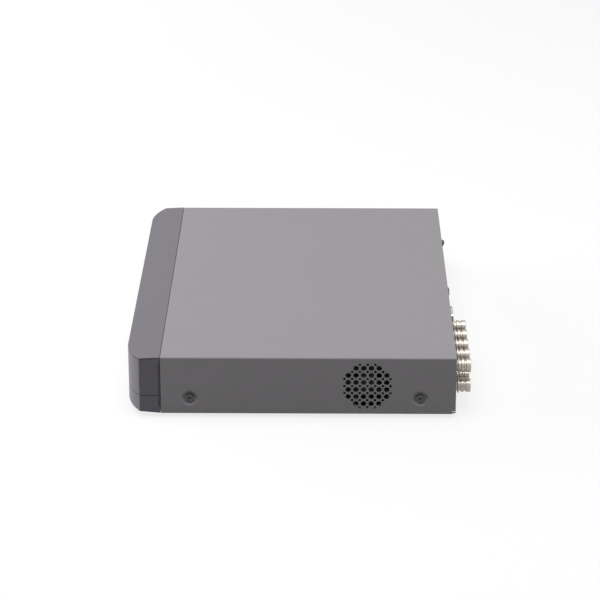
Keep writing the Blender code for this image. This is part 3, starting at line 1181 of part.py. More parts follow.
def hard_drive(look):
    """The drive: platter chamber with its breather, raised lid, threaded holes in the underside."""
    bm = bmesh.new()
    lid_z = DRIVE_Z + DRIVE_HEIGHT - DRIVE_LID
    add_box(bm, (DRIVE_X, DRIVE_Y, DRIVE_Z), (DRIVE_END, DRIVE_BACK, lid_z))
    top = max(bm.faces, key=lambda face: face.calc_center_median().z)
    bmesh.ops.inset_region(bm, faces=[top], thickness=DRIVE_LID_INSET)
    raised = bmesh.ops.extrude_face_region(bm, geom=[top])
    lid = [item for item in raised["geom"] if isinstance(item, bmesh.types.BMVert)]
    bmesh.ops.translate(bm, verts=lid, vec=(0, 0, DRIVE_LID))
    if top.is_valid:
        bm.faces.remove(top)
    drive = piece("hard_drive", bm, look)
    holes = bmesh.new()
    for x, y in DRIVE_HOLES:
        add_rod(holes, (x, y, DRIVE_Z - PAST), (x, y, DRIVE_Z + DRIVE_HOLE_DEPTH), SCREW_SHANK + FIT, HOLE_STEPS)
    chamber_x, chamber_y = DRIVE_X + DRIVE_WALL, DRIVE_Y + DRIVE_WALL
    add_box(holes, (chamber_x, chamber_y, DRIVE_Z + DRIVE_FLOOR),
            (DRIVE_END - DRIVE_WALL, DRIVE_BACK - DRIVE_WALL, lid_z - DRIVE_LID))
    cut(drive, holes)
    breather = bmesh.new()
    breather_x, breather_y = chamber_x + DRIVE_WALL, chamber_y + DRIVE_WALL
    add_rod(breather, (breather_x, breather_y, DRIVE_Z + DRIVE_FLOOR + PAST),
            (breather_x, breather_y, lid_z + DRIVE_LID + PAST), DRIVE_BREATHER, SMALL_HOLE_STEPS)
    cut(drive, breather)


def lead(name, look, radius, route, plugs):
    """A lead as a smooth tube along its route, moulded into the plugs at its ends."""
    curve = bpy.data.curves.new(name, "CURVE")
    curve.dimensions = "3D"
    curve.bevel_depth = radius
    curve.bevel_resolution = 1
    curve.resolution_u = 5
    curve.use_fill_caps = True
    spline = curve.splines.new("BEZIER")
    spline.bezier_points.add(len(route) - 1)
    for point, place in zip(spline.bezier_points, route):
        point.co = place
        point.handle_left_type = point.handle_right_type = "AUTO"
    path = bpy.data.objects.new(name + " path", curve)
    bpy.context.scene.collection.objects.link(path)
    depsgraph = bpy.context.evaluated_depsgraph_get()
    tube = bpy.data.meshes.new_from_object(path.evaluated_get(depsgraph))
    bpy.data.objects.remove(path)
    bm = bmesh.new()
    bm.from_mesh(tube)
    bmesh.ops.remove_doubles(bm, verts=bm.verts, dist=MERGE)
    made = piece(name, bm, look)
    ends = bmesh.new()
    for low, high in plugs:
        add_box(ends, low, high)
    join(made, ends)


def drive_lead(name, look, width, place, share):
    """A lead from a plug on the drive's end to a plug at the front edge of the main board."""
    y = DRIVE_BACK - place
    low = DRIVE_Z + DRIVE_PLUG_LIFT
    start_x = DRIVE_END + FIT
    x = DRIVE_END + share * (BOARD_NOTCH_X - DRIVE_END)
    seat_y = BOARD_FRONT + PLUG_EDGE
    plugs = [((start_x, y - width / 2, low), (start_x + PLUG_LENGTH, y + width / 2, low + PLUG_HEIGHT)),
             ((x - width / 2, seat_y, SEAT_Z), (x + width / 2, seat_y + PLUG_LENGTH, SEAT_Z + PLUG_HEIGHT))]
    drive_z, board_z = low + PLUG_HEIGHT / 2, SEAT_Z + PLUG_HEIGHT / 2
    bend_x = (start_x + PLUG_LENGTH + x) / 2
    bend_y = (y + seat_y) / 2
    route = [(start_x + PLUG_LENGTH / 2, y, drive_z), (start_x + PLUG_LENGTH + PLUG_EDGE, y, drive_z),
             (bend_x, y, drive_z), (x, bend_y, board_z), (x, seat_y - PLUG_EDGE, board_z),
             (x, seat_y + PLUG_LENGTH / 2, board_z)]
    lead(name, look, DRIVE_CABLE, route, plugs)


def front_lead(look):
    """The lead from the front board, through the tray's front wall, to the main board."""
    x, half = FRONT_LEAD_X, FRONT_PLUG_WIDTH / 2
    front_y = FRONT_BOARD_BACK - FRONT_PLUG_LENGTH
    front_z, seat_y = FRONT_BOARD_TOP + FIT, BOARD_FRONT + PLUG_EDGE
    plugs = [((x - half, front_y, front_z), (x + half, FRONT_BOARD_BACK, front_z + PLUG_HEIGHT)),
             ((x - half, seat_y, SEAT_Z), (x + half, seat_y + FRONT_PLUG_LENGTH, SEAT_Z + PLUG_HEIGHT))]
    board_z = SEAT_Z + PLUG_HEIGHT / 2
    route = [(x, front_y + FRONT_PLUG_LENGTH / 2, FRONT_LEAD_Z), (x, TRAY_FRONT, FRONT_LEAD_Z),
             (x, TRAY_FRONT + PLUG_LENGTH, FRONT_LEAD_Z), (x, seat_y - PLUG_LENGTH, board_z),
             (x, seat_y + FRONT_PLUG_LENGTH / 2, board_z)]
    lead("front_lead", look, FRONT_LEAD, route, plugs)


def fan_lead(look):
    """The short lead from the fan frame to its plug on the main board."""
    y = FAN_Y - FAN_LEAD_SIDE
    plug_end = FAN_IN - FAN_PLUG_GAP
    half = FAN_PLUG_LENGTH / 2
    plugs = [((plug_end - FAN_PLUG_LENGTH, y - half, SEAT_Z), (plug_end, y + half, SEAT_Z + PLUG_HEIGHT))]
    z = SEAT_Z + PLUG_HEIGHT / 2
    fan_z = z + FAN_LEAD_RISE
    route = [(plug_end - half, y, z), (plug_end + FAN_PLUG_GAP / 3, y, z), (FAN_IN - FAN_PLUG_GAP / 3, y, fan_z),
             (FAN_IN - FIT, y, fan_z)]
    lead("fan_lead", look, FAN_LEAD, route, plugs)


def fan_frame(look):
    """The square fan frame, with the motor plate and its arms on the inner side."""
    bm = bmesh.new()
    add_prism(bm, rounded(FAN_Y, FAN_Z, FAN_SIZE, FAN_SIZE, FAN_CORNER, 3), "X", FAN_IN, FAN_OUT)
    frame = piece("fan_frame", bm, look)
    bore, arms, plate, holes = bmesh.new(), bmesh.new(), bmesh.new(), bmesh.new()
    add_rod(bore, (FAN_IN - PAST, FAN_Y, FAN_Z), (FAN_OUT + PAST, FAN_Y, FAN_Z), FAN_BORE, FAN_STEPS)
    cut(frame, bore)
    long, short = FAN_BORE + SINK, FAN_ARM / 2
    cross = [(-short, -long), (short, -long), (short, -short), (long, -short), (long, short), (short, short),
             (short, long), (-short, long), (-short, short), (-long, short), (-long, -short), (-short, -short)]
    add_prism(arms, [(FAN_Y + u, FAN_Z + v) for u, v in cross], "X", FAN_IN + SINK, FAN_IN + FAN_SPIDER - SINK)
    join(frame, arms)
    add_rod(plate, (FAN_IN, FAN_Y, FAN_Z), (FAN_IN + FAN_SPIDER, FAN_Y, FAN_Z), FAN_HUB, FOOT_STEPS)
    join(frame, plate)
    pitch = FAN_SCREW_PITCH / 2
    for u in (-pitch, pitch):
        for v in (-pitch, pitch):
            add_rod(holes, (FAN_IN - PAST, FAN_Y + u, FAN_Z + v), (FAN_OUT + PAST, FAN_Y + u, FAN_Z + v),
                    SCREW_SHANK + FIT, HOLE_STEPS)
    add_rod(holes, (FAN_IN - PAST, FAN_Y, FAN_Z), (FAN_IN + FAN_SPIDER + PAST, FAN_Y, FAN_Z),
            FAN_SHAFT + FIT, HOLE_STEPS)
    cut(frame, holes)


def blade_section(radius, angle):
    """One station of a fan blade: leading edge, middle and trailing edge on both faces."""
    points = []
    for face in (1, -1):
        for along in (-1, 0, 1):
            turn = angle + along * face * BLADE_TURN / 2
            x = along * face * BLADE_SPAN / 2 + face * BLADE_WALL / 2
            points.append(Vector((x, radius * math.cos(turn), radius * math.sin(turn))))
    return points


def fan_rotor(look):
    """The bladed rotor, about the middle of its hub."""
    back = FAN_IN + FAN_SPIDER + FIT
    front = FAN_OUT - FIT
    middle = (back + front) / 2
    half = (front - back) / 2
    profile = [(-half - FAN_SPIDER, 0), (-half - FAN_SPIDER, FAN_SHAFT), (-half, FAN_SHAFT), (-half, FAN_HUB),
               (half - BLADE_WALL, FAN_HUB), (half, FAN_HUB - BLADE_WALL), (half, 0)]
    bm = bmesh.new()
    add_turned(bm, profile, (0, 0, 0), (1, 0, 0), FAN_STEPS)
    rotor = piece("fan_rotor", bm, look)
    blades = bmesh.new()
    root, tip = FAN_HUB - BLADE_WALL, FAN_BORE - FAN_TIP_GAP
    for blade in range(FAN_BLADES):
        rows = []
        for station in range(BLADE_STATIONS + 1):
            share = station / BLADE_STATIONS
            angle = blade * math.tau / FAN_BLADES + share * BLADE_SWEEP
            points = blade_section(root + share * (tip - root), angle)
            rows.append([blades.verts.new(point) for point in points])
        for row, after in zip(rows, rows[1:]):
            for corner in range(len(row)):
                beside = (corner + 1) % len(row)
                blades.faces.new((row[corner], row[beside], after[beside], after[corner]))
        blades.faces.new(rows[0])
        blades.faces.new(rows[-1])
    join(rotor, blades)
    mesh = baked(rotor)
    put("fan_rotor", mesh, look, (middle, FAN_Y, FAN_Z))


def main():
    """Clear the scene and build every piece."""
    for old in list(bpy.data.objects):
        bpy.data.objects.remove(old)
    cover_paint = material("grey paint", (0.13, 0.125, 0.135), 0.45)
    zinc = material("zinc-plated steel", (0.52, 0.53, 0.54), 0.38, 0.9)
    bezel_plastic = material("dark grey plastic", (0.075, 0.072, 0.082), 0.4)
    black = material("black plastic", (0.012, 0.012, 0.013), 0.45)
    nickel = material("nickel plate", (0.72, 0.70, 0.66), 0.22, 1.0)
    white = material("white insulator", (0.75, 0.75, 0.72), 0.5)
    clear = material("clear plastic", (0.65, 0.68, 0.7), 0.15)
    smoke = material("smoked plastic", (0.02, 0.005, 0.006), 0.12)
    rubber = material("rubber", (0.02, 0.02, 0.02), 0.8)
    laminate = material("green laminate", (0.012, 0.09, 0.04), 0.5)
    aluminium = material("aluminium", (0.6, 0.61, 0.62), 0.35, 1.0)
    green = material("green plastic", (0.02, 0.2, 0.07), 0.5)
    blue = material("blue plastic", (0.02, 0.06, 0.3), 0.5)
    dark_steel = material("blackened steel", (0.03, 0.03, 0.032), 0.4, 0.8)
    red = material("red sleeve", (0.4, 0.02, 0.02), 0.5)

    base_tray(zinc)
    top_cover(cover_paint)
    bezel_upper(bezel_plastic)
    bezel_lower(bezel_plastic)
    front_window(smoke)
    light_guide(clear)
    front_board(laminate)
    usb_port("front_usb_port", FRONT_USB_X, STRIP_Z, FRONT_Y + FIT, -1, nickel)
    feet(rubber)
    bnc_jacks(nickel)
    bnc_insulator(white)
    audio_jacks(black)
    hdmi_port(nickel)
    vga_port(blue)
    vga_jackscrews(nickel)
    ground_screw(nickel)
    lan_port(nickel)
    usb_port("usb_port", USB_X, SEAT_Z + USB_HEIGHT / 2, REAR_Y + PORT_REACH, 1, nickel)
    serial_terminal(green)
    dc_jack(black)
    switch_housing(black)
    switch_rocker(black)
    main_board(laminate)
    heat_sink(aluminium)
    clock_battery(nickel, black)
    hard_drive(aluminium)
    drive_lead("data_cable", red, DATA_PLUG_WIDTH, DATA_PLUG_PLACE, DATA_BOARD_SHARE)
    drive_lead("power_cable", black, POWER_PLUG_WIDTH, POWER_PLUG_PLACE, POWER_BOARD_SHARE)
    front_lead(black)
    fan_frame(black)
    fan_rotor(black)
    fan_lead(black)
    screws(dark_steel)


main()
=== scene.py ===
"""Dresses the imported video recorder: painted sheet steel, mouldings, plated jacks, screws and a stage.

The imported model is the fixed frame, in metres with +Z up. The bezel faces -Y, the fan grille +X.
"""
from math import asin, atan2, copysign, cos, hypot, pi, radians, sin, sqrt, tan, tau

import bmesh
import bpy
from bpy.props import FloatProperty, FloatVectorProperty, IntProperty, PointerProperty
from bpy.types import Operator, Panel, PropertyGroup
from mathutils import Matrix, Vector


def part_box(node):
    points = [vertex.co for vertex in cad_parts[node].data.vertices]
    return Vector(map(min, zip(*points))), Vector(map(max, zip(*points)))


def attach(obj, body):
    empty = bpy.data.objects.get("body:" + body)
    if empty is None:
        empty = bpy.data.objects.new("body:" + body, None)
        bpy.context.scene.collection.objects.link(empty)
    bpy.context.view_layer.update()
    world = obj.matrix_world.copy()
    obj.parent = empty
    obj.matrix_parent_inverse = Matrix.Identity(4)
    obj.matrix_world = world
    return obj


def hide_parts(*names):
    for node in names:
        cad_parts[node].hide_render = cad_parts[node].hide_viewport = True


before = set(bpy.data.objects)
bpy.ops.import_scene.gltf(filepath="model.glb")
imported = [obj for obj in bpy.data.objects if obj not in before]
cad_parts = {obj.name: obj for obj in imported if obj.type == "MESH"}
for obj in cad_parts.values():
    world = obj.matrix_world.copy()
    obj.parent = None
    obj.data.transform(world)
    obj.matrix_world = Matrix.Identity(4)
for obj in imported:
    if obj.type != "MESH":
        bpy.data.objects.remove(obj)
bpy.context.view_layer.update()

bl_info = {
    "name": "Video Recorder",
    "version": (1, 0, 0),
    "blender": (4, 5, 0),
    "location": "View3D > Sidebar > Recorder",
    "description": "Gives the packed video recorder its fine shapes, finishes and stage",
    "category": "Object",
}

MM = 0.001
MERGE = 0.001 * MM  # points closer than this are one
PAST = 1.0 * MM  # how far a tool runs past what it cuts
FIT = 0.3 * MM  # room between two pieces
SMOOTH_ANGLE = radians(32)  # edges sharper than this stay crisp
FLAT_ANGLE = radians(0.5)  # faces closer to level than this are made one
ROUND_ANGLE = radians(40)  # edges sharper than this are rounded
MOULD_ANGLE = radians(60)  # the same on the bezel, whose side edge stays crisp
BACKWARDS, UP, DOWN = (0, 1, 0), (0, 0, 1), (0, 0, -1)

COVER_LOW, COVER_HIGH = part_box("top_cover")
TRAY_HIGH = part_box("base_tray")[1]
UPPER_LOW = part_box("bezel_upper")[0]
LOWER_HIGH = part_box("bezel_lower")[1]
SIDE_X = COVER_HIGH.x
TOP_Z = COVER_HIGH.z
FLOOR_Z = COVER_LOW.z
REAR_Y = COVER_HIGH.y
JOINT_Y = COVER_LOW.y - FIT
FRONT_Y = UPPER_LOW.y
PANEL_Y = TRAY_HIGH.y - 1.1 * MM  # inside of the rear panel, where blocks end

JACKS = [f"bnc_jack_{number}" for number in range(1, 10)]
COVER_SCREWS = [f"cover_screw_{number}" for number in range(1, 5)]
DRIVE_SCREWS = [f"drive_screw_{number}" for number in range(1, 5)]
HEX_SCREWS = ["vga_jackscrew_1", "vga_jackscrew_2"]
FEET = ["foot_front_left", "foot_front_right", "foot_rear_left", "foot_rear_right"]
AUDIO_JACKS = ["audio_in_jack", "audio_out_jack"]

# A screw dimple: (radius, depth) in millimetres, and the cup that it is pressed into
DISH = [(0, 2), (3.5, 2), (3.8, 1.93), (4.05, 1.74), (5.25, 0.34), (5.55, 0.12), (5.9, 0.02), (6.5, -0.3),
        (0, -0.3)]
CUP_DEPTH, CUP_RIM, CUP_FLOOR, CUP_HOLE = 2.8 * MM, 6.8 * MM, 4.1 * MM, 1.8 * MM
SCREW_HEAD, SCREW_RISE, SCREW_SHANK, SCREW_REACH = 2.8, 1.5, 1.5, 4.5  # millimetres
NOISE_LOW, NOISE_HIGH = 0.3, 0.7  # what noise mostly keeps between
MOTTLE_SIZE = 45  # size of the mottling in sizes of the grain
FINISHES = {}


def middle(node):
    """Middle of a node's box."""
    low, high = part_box(node)
    return (low + high) / 2


def rear_places(nodes):
    """Places on the rear face behind the middles of nodes."""
    return [((middle(node).x, REAR_Y, middle(node).z), BACKWARDS) for node in nodes]


def maker(kind, **limits):
    """A function that makes properties of one kind."""
    return lambda name, about, default, **more: kind(
        name=name, description=about, default=default, **limits, **more)


amount = maker(FloatProperty)
angle = maker(FloatProperty, subtype="ANGLE")
power = maker(FloatProperty, unit="POWER")
count = maker(IntProperty)
shade = maker(FloatVectorProperty, subtype="COLOR", min=0.0, max=1.0)
point = maker(FloatVectorProperty, subtype="TRANSLATION", unit="LENGTH")


def length(name, about, millimetres):
    """A length property, its default given in millimetres."""
    return FloatProperty(
        name=name, description=about, default=millimetres * MM, min=0.0, unit="LENGTH", precision=5)


class CoverSizes(PropertyGroup):
    """Sizes of the folded cover."""
    sheet: length("Sheet", "Thickness of the folded steel", 0.8)
    bend: length("Bend", "Outer radius of the two long folds", 1.0)
    bend_steps: count("Bend steps", "Facets round each fold", 8, min=2)
    pitch: length("Pitch", "Distance between the grille's larger holes", 5.367)
    columns: count("Columns", "Larger holes across the grille", 6, min=2)
    hole: length("Hole", "Radius of the grille's larger holes", 1.95)
    small_hole: length("Small hole", "Radius of the holes between them", 1.0)
    hole_sides: count("Hole sides", "Facets round each hole", 28, min=6)
    slots: count("Slots", "Intake slots in the far side", 14, min=1)
    slot_pitch: length("Slot pitch", "Distance between the intake slots", 5.4)
    slot_width: length("Slot width", "Width of an intake slot", 2.4)
    slot_height: length("Slot height", "Height of an intake slot", 20.0)
    slot_middle: length("Slot middle", "Height of the slots' middle", 32.4)
    relief: length("Relief", "Slanted cut and slit at the lower rear corners", 3.4)


class BezelSizes(PropertyGroup):
    """Sizes of the two front mouldings."""
    flat_side: length("Flat side", "From the joint to the crisp edge of the corner", 14.6)
    radius: length("Corner radius", "Plan radius of the front corners", 50.0)
    arc_steps: count("Arc steps", "Facets round each front corner", 40, min=4)
    wall: length("Wall", "Thickness of the moulding", 1.8)
    lower_wall: length("Lower wall", "Thickness behind the lower moulding's lip", 3.3)
    edge: length("Edge", "Radius of the moulded edges", 0.3)
    chin: length("Chin", "Rise of the underside towards the front", 2.1)
    brow: length("Brow", "Fall of the top towards the front", 1.2)
    line: length("Line", "Width of the fine line under the top's edge", 0.6)
    line_depth: length("Line depth", "Depth of the fine line", 1.2)
    slot: length("Slot", "Width of the shadow slot beside the cover", 1.3)
    slot_depth: length("Slot depth", "Depth of the shadow slot", 1.2)
    slot_low: length("Slot low", "Lower end of the shadow slot above the case", 5.2)
    slot_high: length("Slot high", "Upper end of the shadow slot above the case", 37.6)
    lip: length("Lip", "How far the lower moulding's lip stands past the seam", 2.0)
    opening: length("Opening", "Depth of the openings in the front", 5.0)
    light_pitch: length("Light pitch", "Distance between the lights in the front", 8.0)
    light: length("Light", "Radius of the holes for the lights", 1.4)


class FinishColours(PropertyGroup):
    """Colours of the finishes."""
    cover: shade("Cover", "Powder coat on the cover", (0.238, 0.228, 0.238))
    bezel: shade("Bezel", "Grained plastic of the bezel", (0.145, 0.138, 0.155))
    zinc: shade("Zinc", "Zinc-plated steel of the tray", (0.50, 0.51, 0.52))
    nickel: shade("Nickel", "Plating of the ports", (0.56, 0.53, 0.47))
    # The jacks' colour is their nickel plating darkened as painted shade: it stands in for dark reflections
    # on the barrels.
    jacks: shade("Jacks", "Plating of the video jacks", (0.39, 0.358, 0.315))
    gold: shade("Gold", "Plating of the contacts", (0.83, 0.60, 0.24))
    insulator: shade("Insulator", "White resin inside the jacks", (0.74, 0.71, 0.63))
    black: shade("Black", "Black connector plastic", (0.018, 0.018, 0.019))
    # The fan's colour is its black plastic lightened as painted light, to lift the shade seen through the
    # grille.
    fan: shade("Fan", "Matt plastic of the fan", (0.062, 0.06, 0.063))
    rubber: shade("Rubber", "Rubber of the feet", (0.021, 0.021, 0.022))
    screw: shade("Screw", "Black zinc of the screws", (0.075, 0.072, 0.078))


class StageSettings(PropertyGroup):
    """Camera and light."""
    azimuth: angle("Azimuth", "Camera from +X towards +Y", radians(0.56))
    elevation: angle("Elevation", "Camera above the level", radians(21.56))
    distance: length("Distance", "Camera to target", 1841.4)
    target: point("Target", "Point at the middle of the picture", (0.0, -0.68 * MM, 26.22 * MM))
    lens: amount("Lens", "Focal length in millimetres", 145.63)
    sensor: amount("Sensor", "Width of the sensor in millimetres", 36.0)
    key: power("Key", "Power of the lamp overhead", 24.2)
    front: power("Front", "Power of the lamp before the bezel", 78.0)
    rear: power("Rear", "Power of the lamp behind the jacks", 7.0)
    fill: amount("Fill", "Strength of the even light all round", 0.133)
    floor: length("Floor", "Half the width of the floor", 6000.0)
    glow: amount("Glow", "Share of the seen floor's own light", 0.77)


def add_prism(bm, outline, axis, start, end):
    """A closed prism from an outline, along an axis."""
    order = {"X": (2, 0, 1), "Y": (0, 2, 1), "Z": (0, 1, 2)}[axis]
    ends = [[bm.verts.new([(u, v, w)[part] for part in order]) for u, v in outline] for w in (start, end)]
    for ring in ends:
        bm.faces.new(ring)
    for step in range(len(outline)):
        after = (step + 1) % len(outline)
        bm.faces.new((ends[0][step], ends[0][after], ends[1][after], ends[1][step]))


def prism(*shape):
    """A new bmesh with one prism in it."""
    bm = bmesh.new()
    add_prism(bm, *shape)
    return bm


def turned(profile, steps, closed=False):
    """A new bmesh turned about Z from (radius, height) points in millimetres; closed, it is a ring."""
    bm = bmesh.new()
    rings = []
    turns = [tau * step / steps for step in range(steps)]
    for radius, height in profile:
        rings.append([bm.verts.new((radius * MM * cos(turn), radius * MM * sin(turn), height * MM))
                      for turn in (turns if radius else [0.0])])
    pairs = list(zip(rings, rings[1:])) + ([(rings[-1], rings[0])] if closed else [])
    for first, second in pairs:
        for step in range(steps):
            after = (step + 1) % steps
            corners = [first[step % len(first)], first[after % len(first)],
                       second[after % len(second)], second[step % len(second)]]
            bm.faces.new(list(dict.fromkeys(corners)))
    return bm


def add_rod(bm, start, end, radius, steps, end_radius=None):
    """A rod or cone between two points."""
    start, end = Vector(start), Vector(end)
    turn = (end - start).to_track_quat("Z", "Y").to_matrix().to_4x4()
    bmesh.ops.create_cone(
        bm, cap_ends=True, segments=steps, radius1=radius, radius2=end_radius or radius,
        depth=(end - start).length, matrix=Matrix.Translation((start + end) / 2) @ turn)


def rectangle(u, v, width, height):
    """Corners of a rectangle about its middle."""
    corners = ((-1, -1), (1, -1), (1, 1), (-1, 1))
    return [(u + across * width / 2, v + along * height / 2) for across, along in corners]


def add_block(bm, low, high):
    """A box between two corners."""
    outline = [(low[0], low[1]), (high[0], low[1]), (high[0], high[1]), (low[0], high[1])]
    add_prism(bm, outline, "Z", low[2], high[2])


def round_corners(outline, radius, steps):
    """An outline with each corner turned into an arc."""
    points = []
    for index, corner in enumerate(outline):
        here = Vector(corner)
        before = (Vector(outline[index - 1]) - here).normalized()
        after = (Vector(outline[(index + 1) % len(outline)]) - here).normalized()
        half = before.angle(after) / 2
        centre = here + (before + after).normalized() * radius / sin(half)
        first = (here + before * radius / tan(half) - centre).normalized()
        second = (here + after * radius / tan(half) - centre).normalized()
        for step in range(steps + 1):
            points.append(tuple(centre + first.slerp(second, step / steps) * radius))
    return points


def holder(name, data):
    """An object in the scene that holds a mesh, a lamp or a camera."""
    made = bpy.data.objects.new(name, data)
    bpy.context.scene.collection.objects.link(made)
    return made


def as_bmesh(mesh):
    """A bmesh copy of a mesh."""
    bm = bmesh.new()
    bm.from_mesh(mesh)
    return bm


def placed(name, bm, outward=True):
    """A working object from a bmesh, whose faces are first turned outward."""
    if outward:
        bmesh.ops.recalc_face_normals(bm, faces=bm.faces)
    mesh = bpy.data.meshes.new(name)
    bm.to_mesh(mesh)
    bm.free()
    return holder(name, mesh)


def plain_mesh(target):
    """The evaluated mesh of a working object, which then goes with its tools."""
    bpy.context.view_layer.update()
    graph = bpy.context.evaluated_depsgraph_get()
    mesh = bpy.data.meshes.new_from_object(
        target.evaluated_get(graph), preserve_all_data_layers=True, depsgraph=graph)
    tools = [step.object for step in target.modifiers if step.type == "BOOLEAN"]
    for spent in tools + [target]:
        bpy.data.objects.remove(spent)
    return mesh


def carve(target, tool, operation="DIFFERENCE"):
    """A Boolean with a tool that is given as a bmesh."""
    step = target.modifiers.new("shape", "BOOLEAN")
    step.operation = operation
    step.solver = "EXACT"
    step.object = placed(f"{target.name} tool", tool)


def bevelled(target, width, steps, limit=ROUND_ANGLE):
    """Round the edges of a working object that are sharper than an angle."""
    bevel = target.modifiers.new("edges", "BEVEL")
    bevel.width = width
    bevel.segments = steps
    bevel.limit_method = "ANGLE"
    bevel.angle_limit = limit
    target.modifiers.new("flat faces", "TRIANGULATE")
    return target


def finished(name, mesh, finish, nodes=(), body="case"):
    """A piece of the visual model, evenly shaded, that rides on a body and stands for CAD nodes."""
    mesh.shade_smooth()
    mesh.set_sharp_from_angle(angle=SMOOTH_ANGLE)
    made = holder(name, mesh)
    weights = made.modifiers.new("even shading", "WEIGHTED_NORMAL")
    weights.keep_sharp = True
    mesh = plain_mesh(made)
    mesh.name = name
    mesh.materials.clear()
    mesh.materials.append(FINISHES[finish])
    made = holder(name, mesh)
    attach(made, body)
    if nodes:
        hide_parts(*nodes)


def softened(node, edge, steps, finish, body="case"):
    """A finer copy of a CAD node: merged, its flat faces whole and its edges rounded."""
    bm = as_bmesh(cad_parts[node].data)
    bmesh.ops.remove_doubles(bm, verts=bm.verts, dist=MERGE)
    bmesh.ops.dissolve_limit(bm, angle_limit=FLAT_ANGLE, verts=bm.verts, edges=bm.edges)
    made = bevelled(placed(node, bm, outward=False), edge * MM, steps)
    finished(f"{node}_fine", plain_mesh(made), finish, (node,), body)


def add_node(tree, kind, values=None, **settings):
    """A node with its settings and the values of its sockets."""
    made = tree.nodes.new(kind)
    for name, value in settings.items():
        setattr(made, name, value)
    for socket, value in (values or {}).items():
        made.inputs[socket].default_value = value
    return made


def node_link(tree, *links):
    """Join sockets in a node tree, given as (node, output, node, input)."""
    for source, output, target, entry in links:
        tree.links.new(source.outputs[output], target.inputs[entry])


def sockets(tree, inputs):
    """Named inputs and one geometry output for a tree; returns its input and output nodes."""
    for name, kind in inputs.items():
        tree.interface.new_socket(name, in_out="INPUT", socket_type=f"NodeSocket{kind}")
    tree.interface.new_socket("Geometry", in_out="OUTPUT", socket_type="NodeSocketGeometry")
    return add_node(tree, "NodeGroupInput"), add_node(tree, "NodeGroupOutput")


def end_tree(tree, last, given, out):
    """Close a tree: make its instances real and give them the finish."""
    real = add_node(tree, "GeometryNodeRealizeInstances")
    look = add_node(tree, "GeometryNodeSetMaterial")
    node_link(tree, (last, 0, real, "Geometry"), (real, "Geometry", look, "Geometry"),
              (given, "Finish", look, "Material"), (look, "Geometry", out, "Geometry"))
    return tree


def copies_tree():
    """A tree that stands a prototype on each point, turned to the point's outward direction."""
    tree = bpy.data.node_groups.new("stand copies", "GeometryNodeTree")
    given, out = sockets(tree, {"Places": "Geometry", "Prototype": "Object", "Finish": "Material"})
    shape = add_node(tree, "GeometryNodeObjectInfo")
    outward = add_node(tree, "GeometryNodeInputNamedAttribute", {"Name": "outward"}, data_type="FLOAT_VECTOR")
    turn = add_node(tree, "FunctionNodeAlignRotationToVector", axis="Z")
    stand = add_node(tree, "GeometryNodeInstanceOnPoints")
    node_link(tree, (given, "Prototype", shape, "Object"), (outward, "Attribute", turn, "Vector"),
              (given, "Places", stand, "Points"), (shape, "Geometry", stand, "Instance"),
              (turn, "Rotation", stand, "Rotation"))
    return end_tree(tree, stand, given, out)


def grille_tree():
    """A tree that lays out the grille's punches: large ones in a round block, small ones between them."""
    tree = bpy.data.node_groups.new("grille punches", "GeometryNodeTree")
    given, out = sockets(tree, {
        "Places": "Geometry", "Pitch": "Float", "Columns": "Int", "Reach": "Float", "Small Reach": "Float",
        "Hole": "Float", "Small Hole": "Float", "Sides": "Int", "Depth": "Float", "Finish": "Material"})

    def sum_of(operation, *values):
        """A sum of whole numbers and (node, output) pairs, as such a pair."""
        made = add_node(tree, "ShaderNodeMath", operation=operation)
        for entry, value in enumerate(values):
            if isinstance(value, int):
                made.inputs[entry].default_value = value
            else:
                node_link(tree, (*value, made, entry))
        return made, 0

    place = add_node(tree, "GeometryNodeInputPosition")
    parts = add_node(tree, "ShaderNodeSeparateXYZ")
    away = add_node(tree, "ShaderNodeVectorMath", operation="LENGTH")
    join = add_node(tree, "GeometryNodeJoinGeometry")
    node_link(tree, (place, "Position", parts, 0), (place, "Position", away, 0))
    diamond = sum_of("ADD", sum_of("ABSOLUTE", (parts, "X")), sum_of("ABSOLUTE", (parts, "Y")))
    for extra, measure, reach, hole in ((0, (away, "Value"), "Reach", "Hole"),
                                        (1, diamond, "Small Reach", "Small Hole")):
        number = sum_of("ADD", (given, "Columns"), extra)
        span = sum_of("MULTIPLY", (given, "Pitch"), sum_of("SUBTRACT", number, 1))
        outside = sum_of("GREATER_THAN", measure, (given, reach))
        grid = add_node(tree, "GeometryNodeMeshGrid")
        trim = add_node(tree, "GeometryNodeDeleteGeometry", domain="POINT")
        punch = add_node(tree, "GeometryNodeMeshCylinder")
        stand = add_node(tree, "GeometryNodeInstanceOnPoints")
        node_link(tree, (*span, grid, "Size X"), (*span, grid, "Size Y"), (*number, grid, "Vertices X"),
                  (*number, grid, "Vertices Y"), (grid, "Mesh", trim, "Geometry"),
                  (*outside, trim, "Selection"), (given, "Sides", punch, "Vertices"),
                  (given, hole, punch, "Radius"), (given, "Depth", punch, "Depth"),
                  (trim, "Geometry", stand, "Points"), (punch, "Mesh", stand, "Instance"),
                  (stand, "Instances", join, "Geometry"))
    return end_tree(tree, join, given, out)


def run_tree(target, tree, values):
    """Run a Geometry Nodes tree on a working object, its inputs set by name, and return the plain mesh."""
    step = target.modifiers.new(tree.name, "NODES")
    step.node_group = tree
    for item in tree.interface.items_tree:
        if item.in_out == "INPUT" and item.name in values:
            step[item.identifier] = values[item.name]
    return plain_mesh(target)


def copies(bm, places, finish):
    """The plain mesh of a prototype, given as a bmesh, repeated at (place, outward) pairs."""
    tree = bpy.data.node_groups.get("stand copies") or copies_tree()
    mesh = bpy.data.meshes.new("places")
    mesh.from_pydata([place for place, outward in places], [], [])
    attribute = mesh.attributes.new("outward", "FLOAT_VECTOR", "POINT")
    for item, (place, outward) in zip(attribute.data, places):
        item.vector = outward
    prototype = placed("prototype", bm)
    made = run_tree(holder("places", mesh), tree, {"Prototype": prototype, "Finish": FINISHES[finish]})
    bpy.data.objects.remove(prototype)
    return made


def repeated(name, bm, places, finish, nodes=()):
    """A finished piece of a prototype that is repeated."""
    finished(name, copies(bm, places, finish), finish, nodes)


